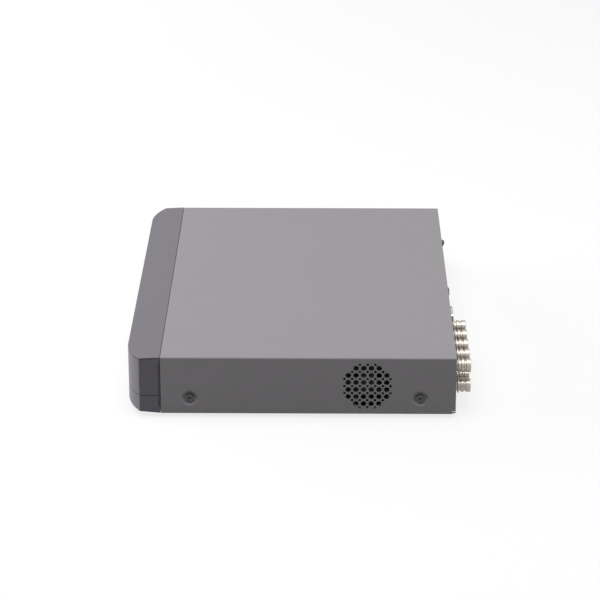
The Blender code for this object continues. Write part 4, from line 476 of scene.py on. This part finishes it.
def with_blocks(mesh, *boxes):
    """A mesh joined by boxes that are given as pairs of corners."""
    bm = as_bmesh(mesh)
    for low, high in boxes:
        add_block(bm, low, high)
    bmesh.ops.recalc_face_normals(bm, faces=bm.faces)
    bm.to_mesh(mesh)
    bm.free()
    return mesh


def coated(name, colour, rough, metal, grain, depth, mottle, speckle,
           stretch=(1, 1, 1), uneven=0.05, gleam=0.5):
    """A finish with broad mottling, fine speckle, uneven roughness and a grain that stands up."""
    look = bpy.data.materials.new(name)
    look.use_nodes = True
    tree = look.node_tree
    shader = tree.nodes["Principled BSDF"]
    shader.inputs["Metallic"].default_value = metal
    shader.inputs["Specular IOR Level"].default_value = gleam
    where = add_node(tree, "ShaderNodeTexCoord")
    turn = add_node(tree, "ShaderNodeMapping", {"Scale": stretch})
    fine = add_node(tree, "ShaderNodeTexNoise", {"Scale": grain, "Detail": 3.0})
    broad = add_node(tree, "ShaderNodeTexNoise", {"Scale": grain / MOTTLE_SIZE})
    spans = []
    for noise, low, high in ((broad, 1 - mottle, 1 + mottle), (fine, 1 - speckle, 1 + speckle),
                             (broad, max(rough - uneven, 0.05), rough + uneven)):
        span = add_node(tree, "ShaderNodeMapRange",
                        {"From Min": NOISE_LOW, "From Max": NOISE_HIGH, "To Min": low, "To Max": high})
        node_link(tree, (noise, "Fac", span, "Value"))
        spans.append(span)
    tone, spots, gloss = spans
    both = add_node(tree, "ShaderNodeMath", operation="MULTIPLY")
    tint = add_node(tree, "ShaderNodeVectorMath", {0: colour[:3]}, operation="SCALE")
    bump = add_node(tree, "ShaderNodeBump", {"Strength": 0.5, "Distance": depth * MM})
    node_link(tree, (where, "Object", turn, "Vector"), (turn, "Vector", fine, "Vector"),
              (turn, "Vector", broad, "Vector"), (tone, "Result", both, 0), (spots, "Result", both, 1),
              (both, "Value", tint, "Scale"), (tint, "Vector", shader, "Base Color"),
              (gloss, "Result", shader, "Roughness"), (fine, "Fac", bump, "Height"),
              (bump, "Normal", shader, "Normal"))
    return look


def spangled(name, colour):
    """Zinc-plated sheet: crystal patches over a rolled grain."""
    look = coated(name, colour, 0.38, 1, 900, 0.01, 0.06, 0.04, (1, 0.12, 1))
    tree = look.node_tree
    shader, where = tree.nodes["Principled BSDF"], tree.nodes["Texture Coordinate"]
    before = shader.inputs["Base Color"].links[0].from_node
    patches = add_node(tree, "ShaderNodeTexVoronoi", {"Scale": 260.0})
    grey = add_node(tree, "ShaderNodeSeparateXYZ")
    tone = add_node(tree, "ShaderNodeMapRange", {"To Min": 0.88, "To Max": 1.06})
    tint = add_node(tree, "ShaderNodeVectorMath", operation="SCALE")
    node_link(tree, (where, "Object", patches, "Vector"), (patches, "Color", grey, 0),
              (grey, "X", tone, "Value"), (before, "Vector", tint, 0), (tone, "Result", tint, "Scale"),
              (tint, "Vector", shader, "Base Color"))
    return look


class RECORDER_OT_finishes(Operator):
    """Make the finishes and put them on the CAD nodes that stay"""
    bl_idname = "recorder.finishes"
    bl_label = "Finishes"

    def execute(self, context):
        shades = context.scene.recorder_colours
        # Name, colour, roughness, metal, grain, depth of the grain in millimetres, mottle, speckle
        plain = {
            "nickel": ("nickel plating", shades.nickel, 0.24, 1, 1500, 0.01, 0.05, 0.03),
            # The jack plating is the nickel darkened as painted shade, for dark reflections on the barrels.
            "jack_plating": ("jack plating", shades.jacks, 0.36, 1, 1500, 0.01, 0.05, 0.03),
            "gold": ("gold plating", shades.gold, 0.25, 1, 1500, 0.01, 0.05, 0.03),
            "insulator": ("white resin", shades.insulator, 0.45, 0, 1800, 0.02, 0.03, 0.03),
            "black_plastic": ("black plastic", shades.black, 0.42, 0, 2400, 0.03, 0.1, 0.12),
            "rubber": ("rubber", shades.rubber, 0.72, 0, 1600, 0.06, 0.12, 0.15),
            "dark_screw": ("black zinc", shades.screw, 0.34, 0.7, 1400, 0.02, 0.1, 0.08),
            "blue_plastic": ("blue resin", (0.02, 0.07, 0.33), 0.42, 0, 2000, 0.02, 0.05, 0.05),
            "green_plastic": ("green resin", (0.03, 0.22, 0.08), 0.42, 0, 2000, 0.02, 0.05, 0.05),
            "smoked_plastic": ("smoked window", (0.012, 0.009, 0.011), 0.1, 0, 900, 0.002, 0.1, 0.05),
            "clear_plastic": ("light pipe", (0.72, 0.75, 0.76), 0.16, 0, 900, 0.004, 0.03, 0.03),
            "laminate": ("circuit board", (0.012, 0.1, 0.035), 0.36, 0, 700, 0.02, 0.12, 0.1),
            "aluminium": ("cast aluminium", (0.58, 0.59, 0.6), 0.42, 1, 1200, 0.04, 0.05, 0.05),
            "cell_steel": ("cell steel", (0.68, 0.68, 0.67), 0.28, 1, 800, 0.01, 0.04, 0.03),
            "red_sleeve": ("red sleeve", (0.34, 0.02, 0.015), 0.45, 0, 1500, 0.02, 0.06, 0.05),
        }
        FINISHES.update({slot: coated(*values) for slot, values in plain.items()})
        FINISHES.update({
            "cover_paint": coated(
                "powder coat", shades.cover, 0.6, 0, 2600, 0.06, 0.012, 0.05, uneven=0.012, gleam=0.35),
            "bezel_plastic": coated(
                "grained plastic", shades.bezel, 0.68, 0, 3000, 0.05, 0.02, 0.06, uneven=0.015, gleam=0.22),
            # The fan plastic is lightened as painted light, against the shade behind the grille.
            "fan_plastic_painted_light": coated(
                "matt black plastic", shades.fan, 0.62, 0, 2400, 0.03, 0.1, 0.12, gleam=0.2),
            "zinc_steel": spangled("zinc-plated steel", shades.zinc),
        })
        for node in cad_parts.values():
            for place in node.material_slots:
                place.material = FINISHES[place.material.name.split(".")[0]]
        return {"FINISHED"}


class RECORDER_OT_cover(Operator):
    """Fold the cover, press its screw dimples and punch the fan grille and the intake slots"""
    bl_idname = "recorder.cover"
    bl_label = "Cover"

    def execute(self, context):
        size = context.scene.recorder_cover
        paint = "cover_paint"
        outer, inner = [(-SIDE_X, FLOOR_Z)], [(-SIDE_X + size.sheet, FLOOR_Z)]
        for side in (-1, 1):
            centre = Vector((side * (SIDE_X - size.bend), TOP_Z - size.bend))
            for step in range(size.bend_steps + 1):
                share = step / size.bend_steps
                turn = pi / 2 * (share if side < 0 else 1 - share)
                way = Vector((side * cos(turn), sin(turn)))
                outer.append(tuple(centre + way * size.bend))
                inner.append(tuple(centre + way * (size.bend - size.sheet)))
        outer.append((SIDE_X, FLOOR_Z))
        inner.append((SIDE_X - size.sheet, FLOOR_Z))
        cover = placed("cover", prism(outer + inner[::-1], "Y", COVER_LOW.y, REAR_Y))

        cups, holes, places = bmesh.new(), bmesh.new(), []
        for screw in COVER_SCREWS:
            spot = middle(screw)
            inward = Vector((-copysign(1.0, spot.x), 0, 0))
            surface = Vector((-inward.x * SIDE_X, spot.y, spot.z))
            places.append((surface, inward))
            add_rod(cups, surface + inward * size.sheet / 2, surface + inward * CUP_DEPTH, CUP_RIM, 48,
                    CUP_FLOOR)
            add_rod(holes, surface, surface + inward * 5 * MM, CUP_HOLE, 24)
        carve(cover, cups, "UNION")
        carve(cover, as_bmesh(copies(turned(DISH, 64), places, paint)))
        carve(cover, holes)

        half = (size.columns - 1) / 2
        fan = middle("fan_frame")
        punches = run_tree(placed("grille", bmesh.new()), grille_tree(), {
            "Pitch": size.pitch, "Columns": size.columns, "Hole": size.hole, "Small Hole": size.small_hole,
            "Reach": size.pitch * (hypot(half, half - 1) + 0.01),
            "Small Reach": size.pitch * (size.columns // 2 + 1.01),
            "Sides": size.hole_sides, "Depth": 3 * size.sheet, "Finish": FINISHES[paint]})
        punches.transform(Matrix.Translation((SIDE_X - size.sheet / 2, fan.y, fan.z))
                          @ Matrix.Rotation(pi / 2, 4, "Y"))
        carve(cover, as_bmesh(punches))

        outline = round_corners(rectangle(0, 0, size.slot_height, size.slot_width), size.slot_width * 0.49, 6)
        slot = prism(outline, "Z", -1.5 * size.sheet, 1.5 * size.sheet)
        first = (COVER_LOW.y + REAR_Y) / 2 - (size.slots - 1) / 2 * size.slot_pitch
        row = [((-SIDE_X + size.sheet / 2, first + number * size.slot_pitch, size.slot_middle), (-1, 0, 0))
               for number in range(size.slots)]
        carve(cover, as_bmesh(copies(slot, row, paint)))

        relief = bmesh.new()
        slant, start = size.relief / 4, REAR_Y - size.relief - PAST
        corner = [(start, FLOOR_Z - PAST / 4), (start, FLOOR_Z - PAST), (REAR_Y + PAST, FLOOR_Z - PAST),
                  (REAR_Y + PAST, FLOOR_Z + slant + PAST / 4)]
        slit = rectangle(REAR_Y - size.relief / 2 + FIT, FLOOR_Z + 2 * slant, size.relief * 0.7, slant * 0.8)
        for side in (1, -1):
            for outline in (corner, slit):
                add_prism(relief, outline, "X", side * (SIDE_X - 2 * size.sheet), side * (SIDE_X + PAST))
        carve(cover, relief)
        finished("cover_fine", plain_mesh(cover), paint, ("top_cover",))
        return {"FINISHED"}


def bezel_plan(size, inset, back):
    """Plan of the bezel, drawn in by a wall: flat front, arc corners, flat sides."""
    rise = size.radius - (JOINT_Y - FRONT_Y) + size.flat_side
    centre_x = SIDE_X - sqrt(size.radius ** 2 - rise ** 2)
    centre_y = FRONT_Y + size.radius
    radius = size.radius - inset
    first = asin((SIDE_X - inset - centre_x) / radius)
    right = [(SIDE_X - inset, back)]
    for step in range(size.arc_steps + 1):
        turn = first * (1 - step / size.arc_steps)
        right.append((centre_x + radius * sin(turn), centre_y - radius * cos(turn)))
    return right + [(-x, y) for x, y in reversed(right)]


def bezel_block(size, inset, back, low, high, *slopes):
    """A block on the bezel's plan, trimmed by slopes of (height at the joint, fall to the front, side)."""
    bm = prism(bezel_plan(size, inset, back), "Z", low, high)
    for z, fall, up in slopes:
        lean = atan2(fall, JOINT_Y - FRONT_Y)
        trimmed = bmesh.ops.bisect_plane(
            bm, geom=bm.verts[:] + bm.edges[:] + bm.faces[:], dist=MERGE, plane_co=(0, JOINT_Y, z),
            plane_no=(0, -sin(lean), up * cos(lean)), clear_outer=True)
        rim = [item for item in trimmed["geom_cut"] if isinstance(item, bmesh.types.BMEdge)]
        bmesh.ops.contextual_create(bm, geom=rim)
    return bm


def bezel_slots(size):
    """Tool for the shadow slots beside the cover."""
    bm = bmesh.new()
    for side in (1, -1):
        outline = rectangle(side * SIDE_X, FLOOR_Z + (size.slot_low + size.slot_high) / 2,
                            2 * size.slot_depth, size.slot_high - size.slot_low)
        add_prism(bm, outline, "Y", JOINT_Y - size.slot, JOINT_Y + PAST)
    return bm


class RECORDER_OT_bezel(Operator):
    """Mould the upper and the lower half of the bezel"""
    bl_idname = "recorder.bezel"
    bl_label = "Bezel"

    def execute(self, context):
        size = context.scene.recorder_bezel
        under, line_top = UPPER_LOW.z - PAST, TOP_Z - size.edge
        upper = bezel_block(size, 0, JOINT_Y, UPPER_LOW.z, TOP_Z + PAST, (TOP_Z, size.brow, 1))
        upper = bevelled(placed("upper", upper), size.edge, 4, MOULD_ANGLE)
        roof = TOP_Z - size.wall, size.brow, 1
        carve(upper, bezel_block(size, size.wall, JOINT_Y + PAST, under, TOP_Z, roof))
        carve(upper, bezel_slots(size))
        above, below = (line_top, size.brow, 1), (line_top - size.line, -size.brow, -1)
        band = bezel_block(size, -PAST, JOINT_Y - size.slot, UPPER_LOW.z, TOP_Z + PAST, above, below)
        line = placed("line", band)
        carve(line, bezel_block(size, size.line_depth, JOINT_Y, under, TOP_Z + 2 * PAST))
        carve(upper, as_bmesh(plain_mesh(line)))
        finished("bezel_upper_fine", plain_mesh(upper), "bezel_plastic", ("bezel_upper",))

        under, seam = FLOOR_Z - PAST, LOWER_HIGH.z - size.lip
        gap = UPPER_LOW.z - seam
        lower = bezel_block(size, 0, JOINT_Y, under, seam - gap, (FLOOR_Z, size.chin, -1))
        lower = bevelled(placed("lower", lower), size.edge, 4, MOULD_ANGLE)
        lip = bezel_block(size, size.wall + FIT, JOINT_Y - size.slot - FIT, seam - size.lip, LOWER_HIGH.z)
        carve(lower, lip, "UNION")
        ground = FLOOR_Z + size.wall, size.chin, -1
        carve(lower, bezel_block(size, size.lower_wall, JOINT_Y + PAST, under, TOP_Z, ground))
        carve(lower, bezel_slots(size))
        openings = bmesh.new()
        start, end = FRONT_Y - PAST, FRONT_Y + size.opening
        for node, corner in (("front_usb_port", 0.4 * MM), ("ir_window", 0.6 * MM)):
            low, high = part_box(node)
            spot = (low + high) / 2
            outline = rectangle(spot.x, spot.z, high.x - low.x + 2 * FIT, high.z - low.z + 2 * FIT)
            add_prism(openings, round_corners(outline, corner, 4), "Y", start, end)
        z = middle("ir_window").z
        for number in (-1, 0, 1):
            x = middle("light_guide").x + number * size.light_pitch
            add_rod(openings, (x, start, z), (x, end, z), size.light, 32)
        carve(lower, openings)
        finished("bezel_lower_fine", plain_mesh(lower), "bezel_plastic", ("bezel_lower",))
        return {"FINISHED"}


class RECORDER_OT_video_jacks(Operator):
    """Turn the nine video jacks with their bayonet studs, resin cores and gold contacts"""
    bl_idname = "recorder.video_jacks"
    bl_label = "Video jacks"

    def execute(self, context):
        places = rear_places(JACKS)
        reach = (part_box(JACKS[0])[1].y - REAR_Y) / MM
        shell = [(2.6, -1.6), (5.6, -1.6), (5.6, 0.05), (6.35, 0.05), (6.35, 0.45), (6.2, 0.6), (4.2, 0.6)]
        for low, high, radius in ((1.9, 2.8, 5.6), (4.2, 6.3, 4.85), (7.6, reach, 4.85)):
            shell += [(4.0, low - 0.1), (radius - 0.3, low), (radius, low + 0.2), (radius, high - 0.25),
                      (radius - 0.3, high)]
            if high < reach:
                shell += [(4.0, high + 0.1)]
        shell += [(4.2, reach), (3.7, reach - 0.4), (3.7, 0.9), (2.6, 0.9)]
        jack = placed("jack", turned(shell, 48, closed=True))
        studs = bmesh.new()
        for side in (1, -1):
            add_rod(studs, (side * 4.4 * MM, 0, 5.25 * MM), (side * 5.65 * MM, 0, 5.25 * MM), 1.0 * MM, 20)
        carve(jack, studs, "UNION")
        jack = as_bmesh(plain_mesh(jack))
        # The shells' plating is darkened as painted shade.
        repeated("video_jack_shells", jack, places, "jack_plating", JACKS)

        core = [(0, -1.6), (2.4, -1.6), (2.4, reach - 2.5), (2.2, reach - 2.1), (1.2, reach - 2.0),
                (0.75, reach - 2.3), (0.75, 4.0), (0, 4.0)]
        mesh = copies(turned(core, 32), places, "insulator")
        low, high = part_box("bnc_insulator")
        edge = min(place.x for place in map(middle, JACKS)) - 7.5 * MM
        mesh = with_blocks(mesh, ((edge, low.y, low.z), (high.x, TRAY_HIGH.y - 2.7 * MM, high.z)))
        finished("video_jack_cores", mesh, "insulator", ("bnc_insulator",))

        pin = [(0, 4.1), (0.7, 4.1), (0.7, reach - 2.6), (0.5, reach - 2.45), (0.38, reach - 2.6),
               (0.38, 6.0), (0, 6.0)]
        repeated("video_jack_contacts", turned(pin, 20), places, "gold")
        return {"FINISHED"}


def screw_prototype(radius, height, shank, reach):
    """A pan-head screw with a cross recess, its seat at Z = 0 and its head up, from sizes in millimetres."""
    head = [(0, -reach), (shank - 0.3, -reach), (shank, -reach + 0.5), (shank, 0), (radius, 0),
            (radius, height * 0.35), (radius * 0.93, height * 0.68), (radius * 0.72, height * 0.93),
            (radius * 0.4, height), (0, height)]
    screw = placed("screw", turned(head, 40))
    blade = [(-radius * 0.62, height + 0.2), (-radius * 0.3, height - 1.1), (radius * 0.3, height - 1.1),
             (radius * 0.62, height + 0.2)]
    for turn in (20, 110):
        bm = prism(blade, "Y", -radius * 0.13, radius * 0.13)
        bm.transform(Matrix.Rotation(radians(turn), 4, "Z") @ Matrix.Scale(MM, 4))
        carve(screw, bm)
    return as_bmesh(plain_mesh(screw))


class RECORDER_OT_screws(Operator):
    """Set the cross-recess screws in the cover's dimples, under the drive and at the ground point"""
    bl_idname = "recorder.screws"
    bl_label = "Screws"

    def execute(self, context):
        cover_places, drive_places = [], []
        for node in COVER_SCREWS:
            low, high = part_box(node)
            spot, side = (low + high) / 2, copysign(1.0, low.x)
            face = high.x if side > 0 else low.x
            cover_places.append(((face - side * SCREW_RISE * MM, spot.y, spot.z), (side, 0, 0)))
        for node in DRIVE_SCREWS:
            spot = middle(node)
            drive_places.append(((spot.x, spot.y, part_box(node)[0].z + SCREW_RISE * MM), DOWN))
        for name, places, nodes in (
                ("cover_screws_fine", cover_places, COVER_SCREWS),
                ("drive_screws_fine", drive_places, DRIVE_SCREWS)):
            screw = screw_prototype(SCREW_HEAD, SCREW_RISE, SCREW_SHANK, SCREW_REACH)
            repeated(name, screw, places, "dark_screw", nodes)
        low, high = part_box("ground_screw")
        radius, height, reach = (high.x - low.x) / 2 / MM, (high.y - REAR_Y) / MM, (REAR_Y - low.y) / MM
        screw = screw_prototype(radius, height, SCREW_SHANK, reach)
        repeated("ground_screw_fine", screw, rear_places(["ground_screw"]), "dark_screw", ("ground_screw",))
        return {"FINISHED"}


class RECORDER_OT_feet(Operator):
    """Turn the four rubber feet"""
    bl_idname = "recorder.feet"
    bl_label = "Feet"

    def execute(self, context):
        low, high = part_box(FEET[0])
        tall, top = FLOOR_Z / MM, (high.z - low.z) / MM
        radius = (high.x - low.x) / 2 / MM
        foot = [(0, 0.35), (radius * 0.55, 0.35), (radius * 0.6, 0.0), (radius - 0.9, 0.0),
                (radius - 0.35, 0.15), (radius - 0.12, 0.45), (radius, tall - 0.4),
                (radius - 0.3, tall - 0.05), (2.2, tall), (2.2, top - 0.4), (1.8, top), (0, top)]
        places = [((middle(node).x, middle(node).y, low.z), UP) for node in FEET]
        repeated("feet_fine", turned(foot, 48), places, "rubber", FEET)
        return {"FINISHED"}


class RECORDER_OT_audio_jacks(Operator):
    """Turn the two audio jacks: block, black barrel and plated sleeve"""
    bl_idname = "recorder.audio_jacks"
    bl_label = "Audio jacks"

    def execute(self, context):
        places = rear_places(AUDIO_JACKS)
        boxes = [(low, (high.x, PANEL_Y, high.z)) for low, high in map(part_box, AUDIO_JACKS)]
        reach = (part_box(AUDIO_JACKS[0])[1].y - REAR_Y) / MM
        barrel = [(0, -1.2), (4.15, -1.2), (4.15, 0.05), (4.9, 0.05), (4.9, 0.4), (4.75, 0.55), (4.15, 0.6),
                  (4.1, reach - 0.5), (3.7, reach - 0.05), (3.3, reach), (2.05, reach), (1.95, reach - 0.1),
                  (1.95, reach - 7.0), (0, reach - 7.0)]
        mesh = copies(turned(barrel, 48), places, "black_plastic")
        finished("audio_jacks_fine", with_blocks(mesh, *boxes), "black_plastic", AUDIO_JACKS)
        ring = [(1.55, reach - 6.9), (1.9, reach - 6.9), (1.9, reach - 0.25), (1.8, reach - 0.1),
                (1.65, reach - 0.15), (1.55, reach - 0.4)]
        repeated("audio_jack_sleeves", turned(ring, 32, closed=True), places, "nickel")
        return {"FINISHED"}


def d_outline(spot, grow):
    """The D shape of the monitor port, with round corners."""
    rise, top, bottom = 4.2 * MM + grow, 8.5 * MM + grow, 7.3 * MM + grow
    corners = [(spot.x - bottom, spot.z - rise), (spot.x + bottom, spot.z - rise),
               (spot.x + top, spot.z + rise), (spot.x - top, spot.z + rise)]
    return round_corners(corners, 1.8 * MM + grow, 6)


class RECORDER_OT_monitor_port(Operator):
    """Make the D-shaped monitor port: plated shell, blue insert with fifteen holes, two hexagon screws"""
    bl_idname = "recorder.monitor_port"
    bl_label = "Monitor port"

    def execute(self, context):
        low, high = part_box("vga_port")
        spot = (low + high) / 2
        bm = bmesh.new()
        add_block(bm, low, (high.x, PANEL_Y, high.z))
        shell = placed("shell", bm)
        carve(shell, prism(d_outline(spot, 0), "Y", PANEL_Y - FIT, high.y), "UNION")
        carve(shell, prism(d_outline(spot, -0.45 * MM), "Y", PANEL_Y - 4 * MM, high.y + PAST))
        finished("monitor_port_shell", plain_mesh(shell), "nickel", ("vga_port",))

        mouth = high.y - 1.4 * MM
        insert = placed("insert", prism(d_outline(spot, -0.5 * MM), "Y", PANEL_Y - 3.9 * MM, mouth))
        pin = turned([(0, -2.5), (0.5, -2.5), (0.5, 0.3), (0, 0.3)], 16)
        places = []
        for row, shift in ((-1, 0), (0, 0.5), (1, 0)):
            z = spot.z + row * 1.98 * MM
            places += [((spot.x + (step + shift) * 2.29 * MM, mouth, z), BACKWARDS) for step in range(-2, 3)]
        carve(insert, as_bmesh(copies(pin, places, "blue_plastic")))
        finished("monitor_port_insert", plain_mesh(insert), "blue_plastic")

        screw = [(0, -6.0), (1.5, -6.0), (1.5, 0.3), (2.55, 0.3), (2.75, 0.5), (2.75, 4.7), (2.5, 5.15),
                 (1.7, 5.15), (1.3, 4.8), (1.3, 1.0), (0, 1.0)]
        repeated("monitor_port_screws", turned(screw, 6), rear_places(HEX_SCREWS), "dark_screw", HEX_SCREWS)
        return {"FINISHED"}


def plug_outline(x, z, inset):
    """Mouth of the network port: a square with a room for the latch below, drawn in."""
    half, latch = 5.9 * MM - inset, 3.0 * MM - inset
    low, sill, top = z + 2.2 * MM + inset, z + 4.4 * MM + inset, z + 11.8 * MM - inset
    return [(x - half, sill), (x - latch, sill), (x - latch, low), (x + latch, low), (x + latch, sill),
            (x + half, sill), (x + half, top), (x - half, top)]


class RECORDER_OT_rear_ports(Operator):
    """Round the edges of the data, power and terminal ports and give them tongues, contacts and lamps"""
    bl_idname = "recorder.rear_ports"
    bl_label = "Data and power ports"

    def execute(self, context):
        for node, slot, edge in (
                ("hdmi_port", "nickel", 0.12), ("usb_port", "nickel", 0.12),
                ("front_usb_port", "nickel", 0.12), ("lan_port", "nickel", 0.15),
                ("dc_jack", "black_plastic", 0.2), ("serial_terminal", "green_plastic", 0.2)):
            softened(node, edge, 2, slot)

        tongues, strips = bmesh.new(), []
        for node, way, wide, raised, number in (
                ("usb_port", 1, 11.0, 0.6, 4), ("front_usb_port", -1, 11.0, 0.6, 4),
                ("hdmi_port", 1, 11.4, 0.0, 10)):
            low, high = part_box(node)
            spot = (low + high) / 2
            mouth = (high.y if way > 0 else low.y) - way * 1.15 * MM
            near, far = sorted((mouth, mouth - way * 10.5 * MM))
            half = (wide / 2 + 0.04) * MM
            bottom, top = spot.z + (raised - 1.0) * MM, spot.z + (raised + 1.0) * MM
            add_block(tongues, (spot.x - half, near, bottom), (spot.x + half, far, top))
            pitch = wide * 0.84 / number * MM
            strips += [((spot.x + (step - (number - 1) / 2) * pitch, mouth - way * 4.2 * MM, bottom), DOWN)
                       for step in range(number)]
        tongues = bevelled(placed("tongues", tongues), 0.15 * MM, 2)
        finished("port_tongues", plain_mesh(tongues), "black_plastic")
        outline = round_corners(rectangle(0, 0, 0.5 * MM, 7.6 * MM), 0.15 * MM, 3)
        repeated("port_contacts", prism(outline, "Z", -0.1 * MM, 0.05 * MM), strips, "gold")

        low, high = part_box("lan_port")
        x = (low.x + high.x) / 2
        lining = prism(plug_outline(x, low.z, 0.05 * MM), "Y", high.y - 11.8 * MM, high.y - 0.5 * MM)
        lining = placed("lining", lining)
        carve(lining, prism(plug_outline(x, low.z, 0.35 * MM), "Y", high.y - 11.4 * MM, high.y))
        finished("lan_lining", plain_mesh(lining), "black_plastic")
        bend = [(-8.0 * MM, -0.2 * MM), (0.0, -2.6 * MM), (0.25 * MM, -2.4 * MM), (-7.9 * MM, 0.1 * MM)]
        y, z = high.y - 2.6 * MM, high.z - 2.2 * MM
        places = [((x + (step - 3.5) * 1.02 * MM, y, z), UP) for step in range(8)]
        repeated("lan_contacts", prism(bend, "X", -0.2 * MM, 0.2 * MM), places, "gold")
        lamps = bmesh.new()
        for side in (1, -1):
            spot = x + side * 6.9 * MM
            add_block(lamps, (spot - 0.7 * MM, high.y - 1 * MM, high.z - 3.0 * MM),
                      (spot + 0.7 * MM, high.y + 0.1 * MM, high.z - 0.8 * MM))
        finished("lan_lamps", plain_mesh(bevelled(placed("lamps", lamps), 0.12 * MM, 2)), "clear_plastic")

        spot, face = middle("dc_jack"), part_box("dc_jack")[1].y
        pin = [(0, -9.0), (1.06, -9.0), (1.06, -1.6), (0.85, -1.2), (0.5, -1.12), (0, -1.1)]
        repeated("power_inlet_pin", turned(pin, 24), [((spot.x, face, spot.z), BACKWARDS)], "nickel")

        spot, face = middle("serial_terminal"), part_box("serial_terminal")[1].y
        clamp = [(0, -6.0), (1.15, -6.0), (1.15, -2.4), (0.9, -2.2), (0, -2.2)]
        places = [((spot.x + side * 2.54 * MM, face, spot.z), BACKWARDS) for side in (1, -1)]
        repeated("terminal_clamps", turned(clamp, 20), places, "nickel")
        return {"FINISHED"}


class RECORDER_OT_switch(Operator):
    """Round the edges of the power switch and its rocker"""
    bl_idname = "recorder.switch"
    bl_label = "Switch"

    def execute(self, context):
        softened("switch_housing", 0.3, 3, "black_plastic")
        softened("switch_rocker", 0.25, 3, "black_plastic", body="rocker")
        return {"FINISHED"}


class RECORDER_OT_fan(Operator):
    """Round the edges of the fan's frame and blades"""
    bl_idname = "recorder.fan"
    bl_label = "Fan"

    def execute(self, context):
        # The fan's finish is lightened as painted light.
        softened("fan_frame", 0.25, 2, "fan_plastic_painted_light")
        softened("fan_rotor", 0.12, 2, "fan_plastic_painted_light", "fan")
        return {"FINISHED"}


def ray_mix(tree, seen, unseen, out):
    """Show one shader to camera, glossy and transmission rays, and another to the light."""
    path = add_node(tree, "ShaderNodeLightPath")
    total = path, "Is Camera Ray"
    for name in ("Is Glossy Ray", "Is Transmission Ray"):
        larger = add_node(tree, "ShaderNodeMath", operation="MAXIMUM")
        node_link(tree, (*total, larger, 0), (path, name, larger, 1))
        total = larger, 0
    mix = add_node(tree, "ShaderNodeMixShader")
    node_link(tree, (*total, mix, "Fac"), (unseen, 0, mix, 1), (seen, 0, mix, 2), (mix, 0, out, "Surface"))


class RECORDER_OT_stage(Operator):
    """Set the floor, the lamps, the even light and the camera"""
    bl_idname = "recorder.stage"
    bl_label = "Stage"

    def execute(self, context):
        scene = context.scene
        setting = scene.recorder_stage
        scene.view_settings.view_transform = "Standard"

        bm = bmesh.new()
        bmesh.ops.create_grid(bm, x_segments=1, y_segments=1, size=setting.floor)
        floor = placed("floor", bm)
        paper = bpy.data.materials.new("white paper")
        paper.use_nodes = True
        tree = paper.node_tree
        tree.nodes.clear()
        out = add_node(tree, "ShaderNodeOutputMaterial")
        matt = add_node(tree, "ShaderNodeBsdfDiffuse", {"Color": (0.9, 0.9, 0.9, 1)})
        dim = add_node(tree, "ShaderNodeBsdfDiffuse", {"Color": (0.4, 0.4, 0.4, 1)})
        glow = add_node(tree, "ShaderNodeEmission")
        pale = add_node(tree, "ShaderNodeMixShader", {"Fac": setting.glow})
        node_link(tree, (matt, "BSDF", pale, 1), (glow, "Emission", pale, 2))
        ray_mix(tree, pale, dim, out)
        floor.data.materials.append(paper)

        world = bpy.data.worlds.new("white room")
        scene.world = world
        world.use_nodes = True
        tree = world.node_tree
        tree.nodes.clear()
        out = add_node(tree, "ShaderNodeOutputWorld")
        bright = add_node(tree, "ShaderNodeBackground", {"Color": (1, 1, 1, 1)})
        even = add_node(tree, "ShaderNodeBackground", {"Color": (1, 1, 1, 1), "Strength": setting.fill})
        ray_mix(tree, bright, even, out)

        for name, strength, place, wide, tall in (
                ("key lamp", setting.key, (0.22, -0.1, 1.6), 1.4, 1.4),
                ("front lamp", setting.front, (-1.0, -1.75, 0.36), 3.0, 0.7),
                ("rear lamp", setting.rear, (0.3, 1.7, 0.8), 1.0, 1.0)):
            lamp = bpy.data.lights.new(name, "AREA")
            lamp.energy = strength
            lamp.shape = "RECTANGLE"
            lamp.size, lamp.size_y = wide, tall
            made = holder(name, lamp)
            made.location = place
            made.rotation_euler = (-Vector(place)).to_track_quat("-Z", "Y").to_euler()

        level = cos(setting.elevation)
        away = Vector((level * cos(setting.azimuth), level * sin(setting.azimuth), sin(setting.elevation)))
        camera = holder("camera", bpy.data.cameras.new("camera"))
        camera.data.lens = setting.lens
        camera.data.sensor_width = setting.sensor
        camera.data.clip_end = 50.0
        camera.location = Vector(setting.target) + away * setting.distance
        camera.rotation_euler = (-away).to_track_quat("-Z", "Y").to_euler()
        scene.camera = camera
        return {"FINISHED"}


OPERATORS = (RECORDER_OT_finishes, RECORDER_OT_cover, RECORDER_OT_bezel, RECORDER_OT_video_jacks,
             RECORDER_OT_screws, RECORDER_OT_feet, RECORDER_OT_audio_jacks, RECORDER_OT_monitor_port,
             RECORDER_OT_rear_ports, RECORDER_OT_switch, RECORDER_OT_fan, RECORDER_OT_stage)
GROUPS = {"recorder_cover": CoverSizes, "recorder_bezel": BezelSizes, "recorder_colours": FinishColours,
          "recorder_stage": StageSettings}


class RECORDER_PT_pieces(Panel):
    """Sizes, colours and makers of the recorder's pieces"""
    bl_label = "Video recorder"
    bl_idname = "RECORDER_PT_pieces"
    bl_space_type = "VIEW_3D"
    bl_region_type = "UI"
    bl_category = "Recorder"

    def draw(self, context):
        for name, group in GROUPS.items():
            box = self.layout.box()
            for setting in group.__annotations__:
                box.prop(getattr(context.scene, name), setting)
        for operator in OPERATORS:
            self.layout.operator(operator.bl_idname)


CLASSES = (*GROUPS.values(), *OPERATORS, RECORDER_PT_pieces)


def register():
    """Register the classes and give the scene its settings."""
    for each in CLASSES:
        bpy.utils.register_class(each)
    for name, group in GROUPS.items():
        setattr(bpy.types.Scene, name, PointerProperty(type=group))


def unregister():
    """Take the settings and the classes away."""
    for name in GROUPS:
        delattr(bpy.types.Scene, name)
    for each in reversed(CLASSES):
        bpy.utils.unregister_class(each)


def main():
    """Register the classes, then make every piece and the stage."""
    register()
    for operator in OPERATORS:
        group, name = operator.bl_idname.split(".")
        getattr(getattr(bpy.ops, group), name)()


if __name__ == "__main__":
    main()
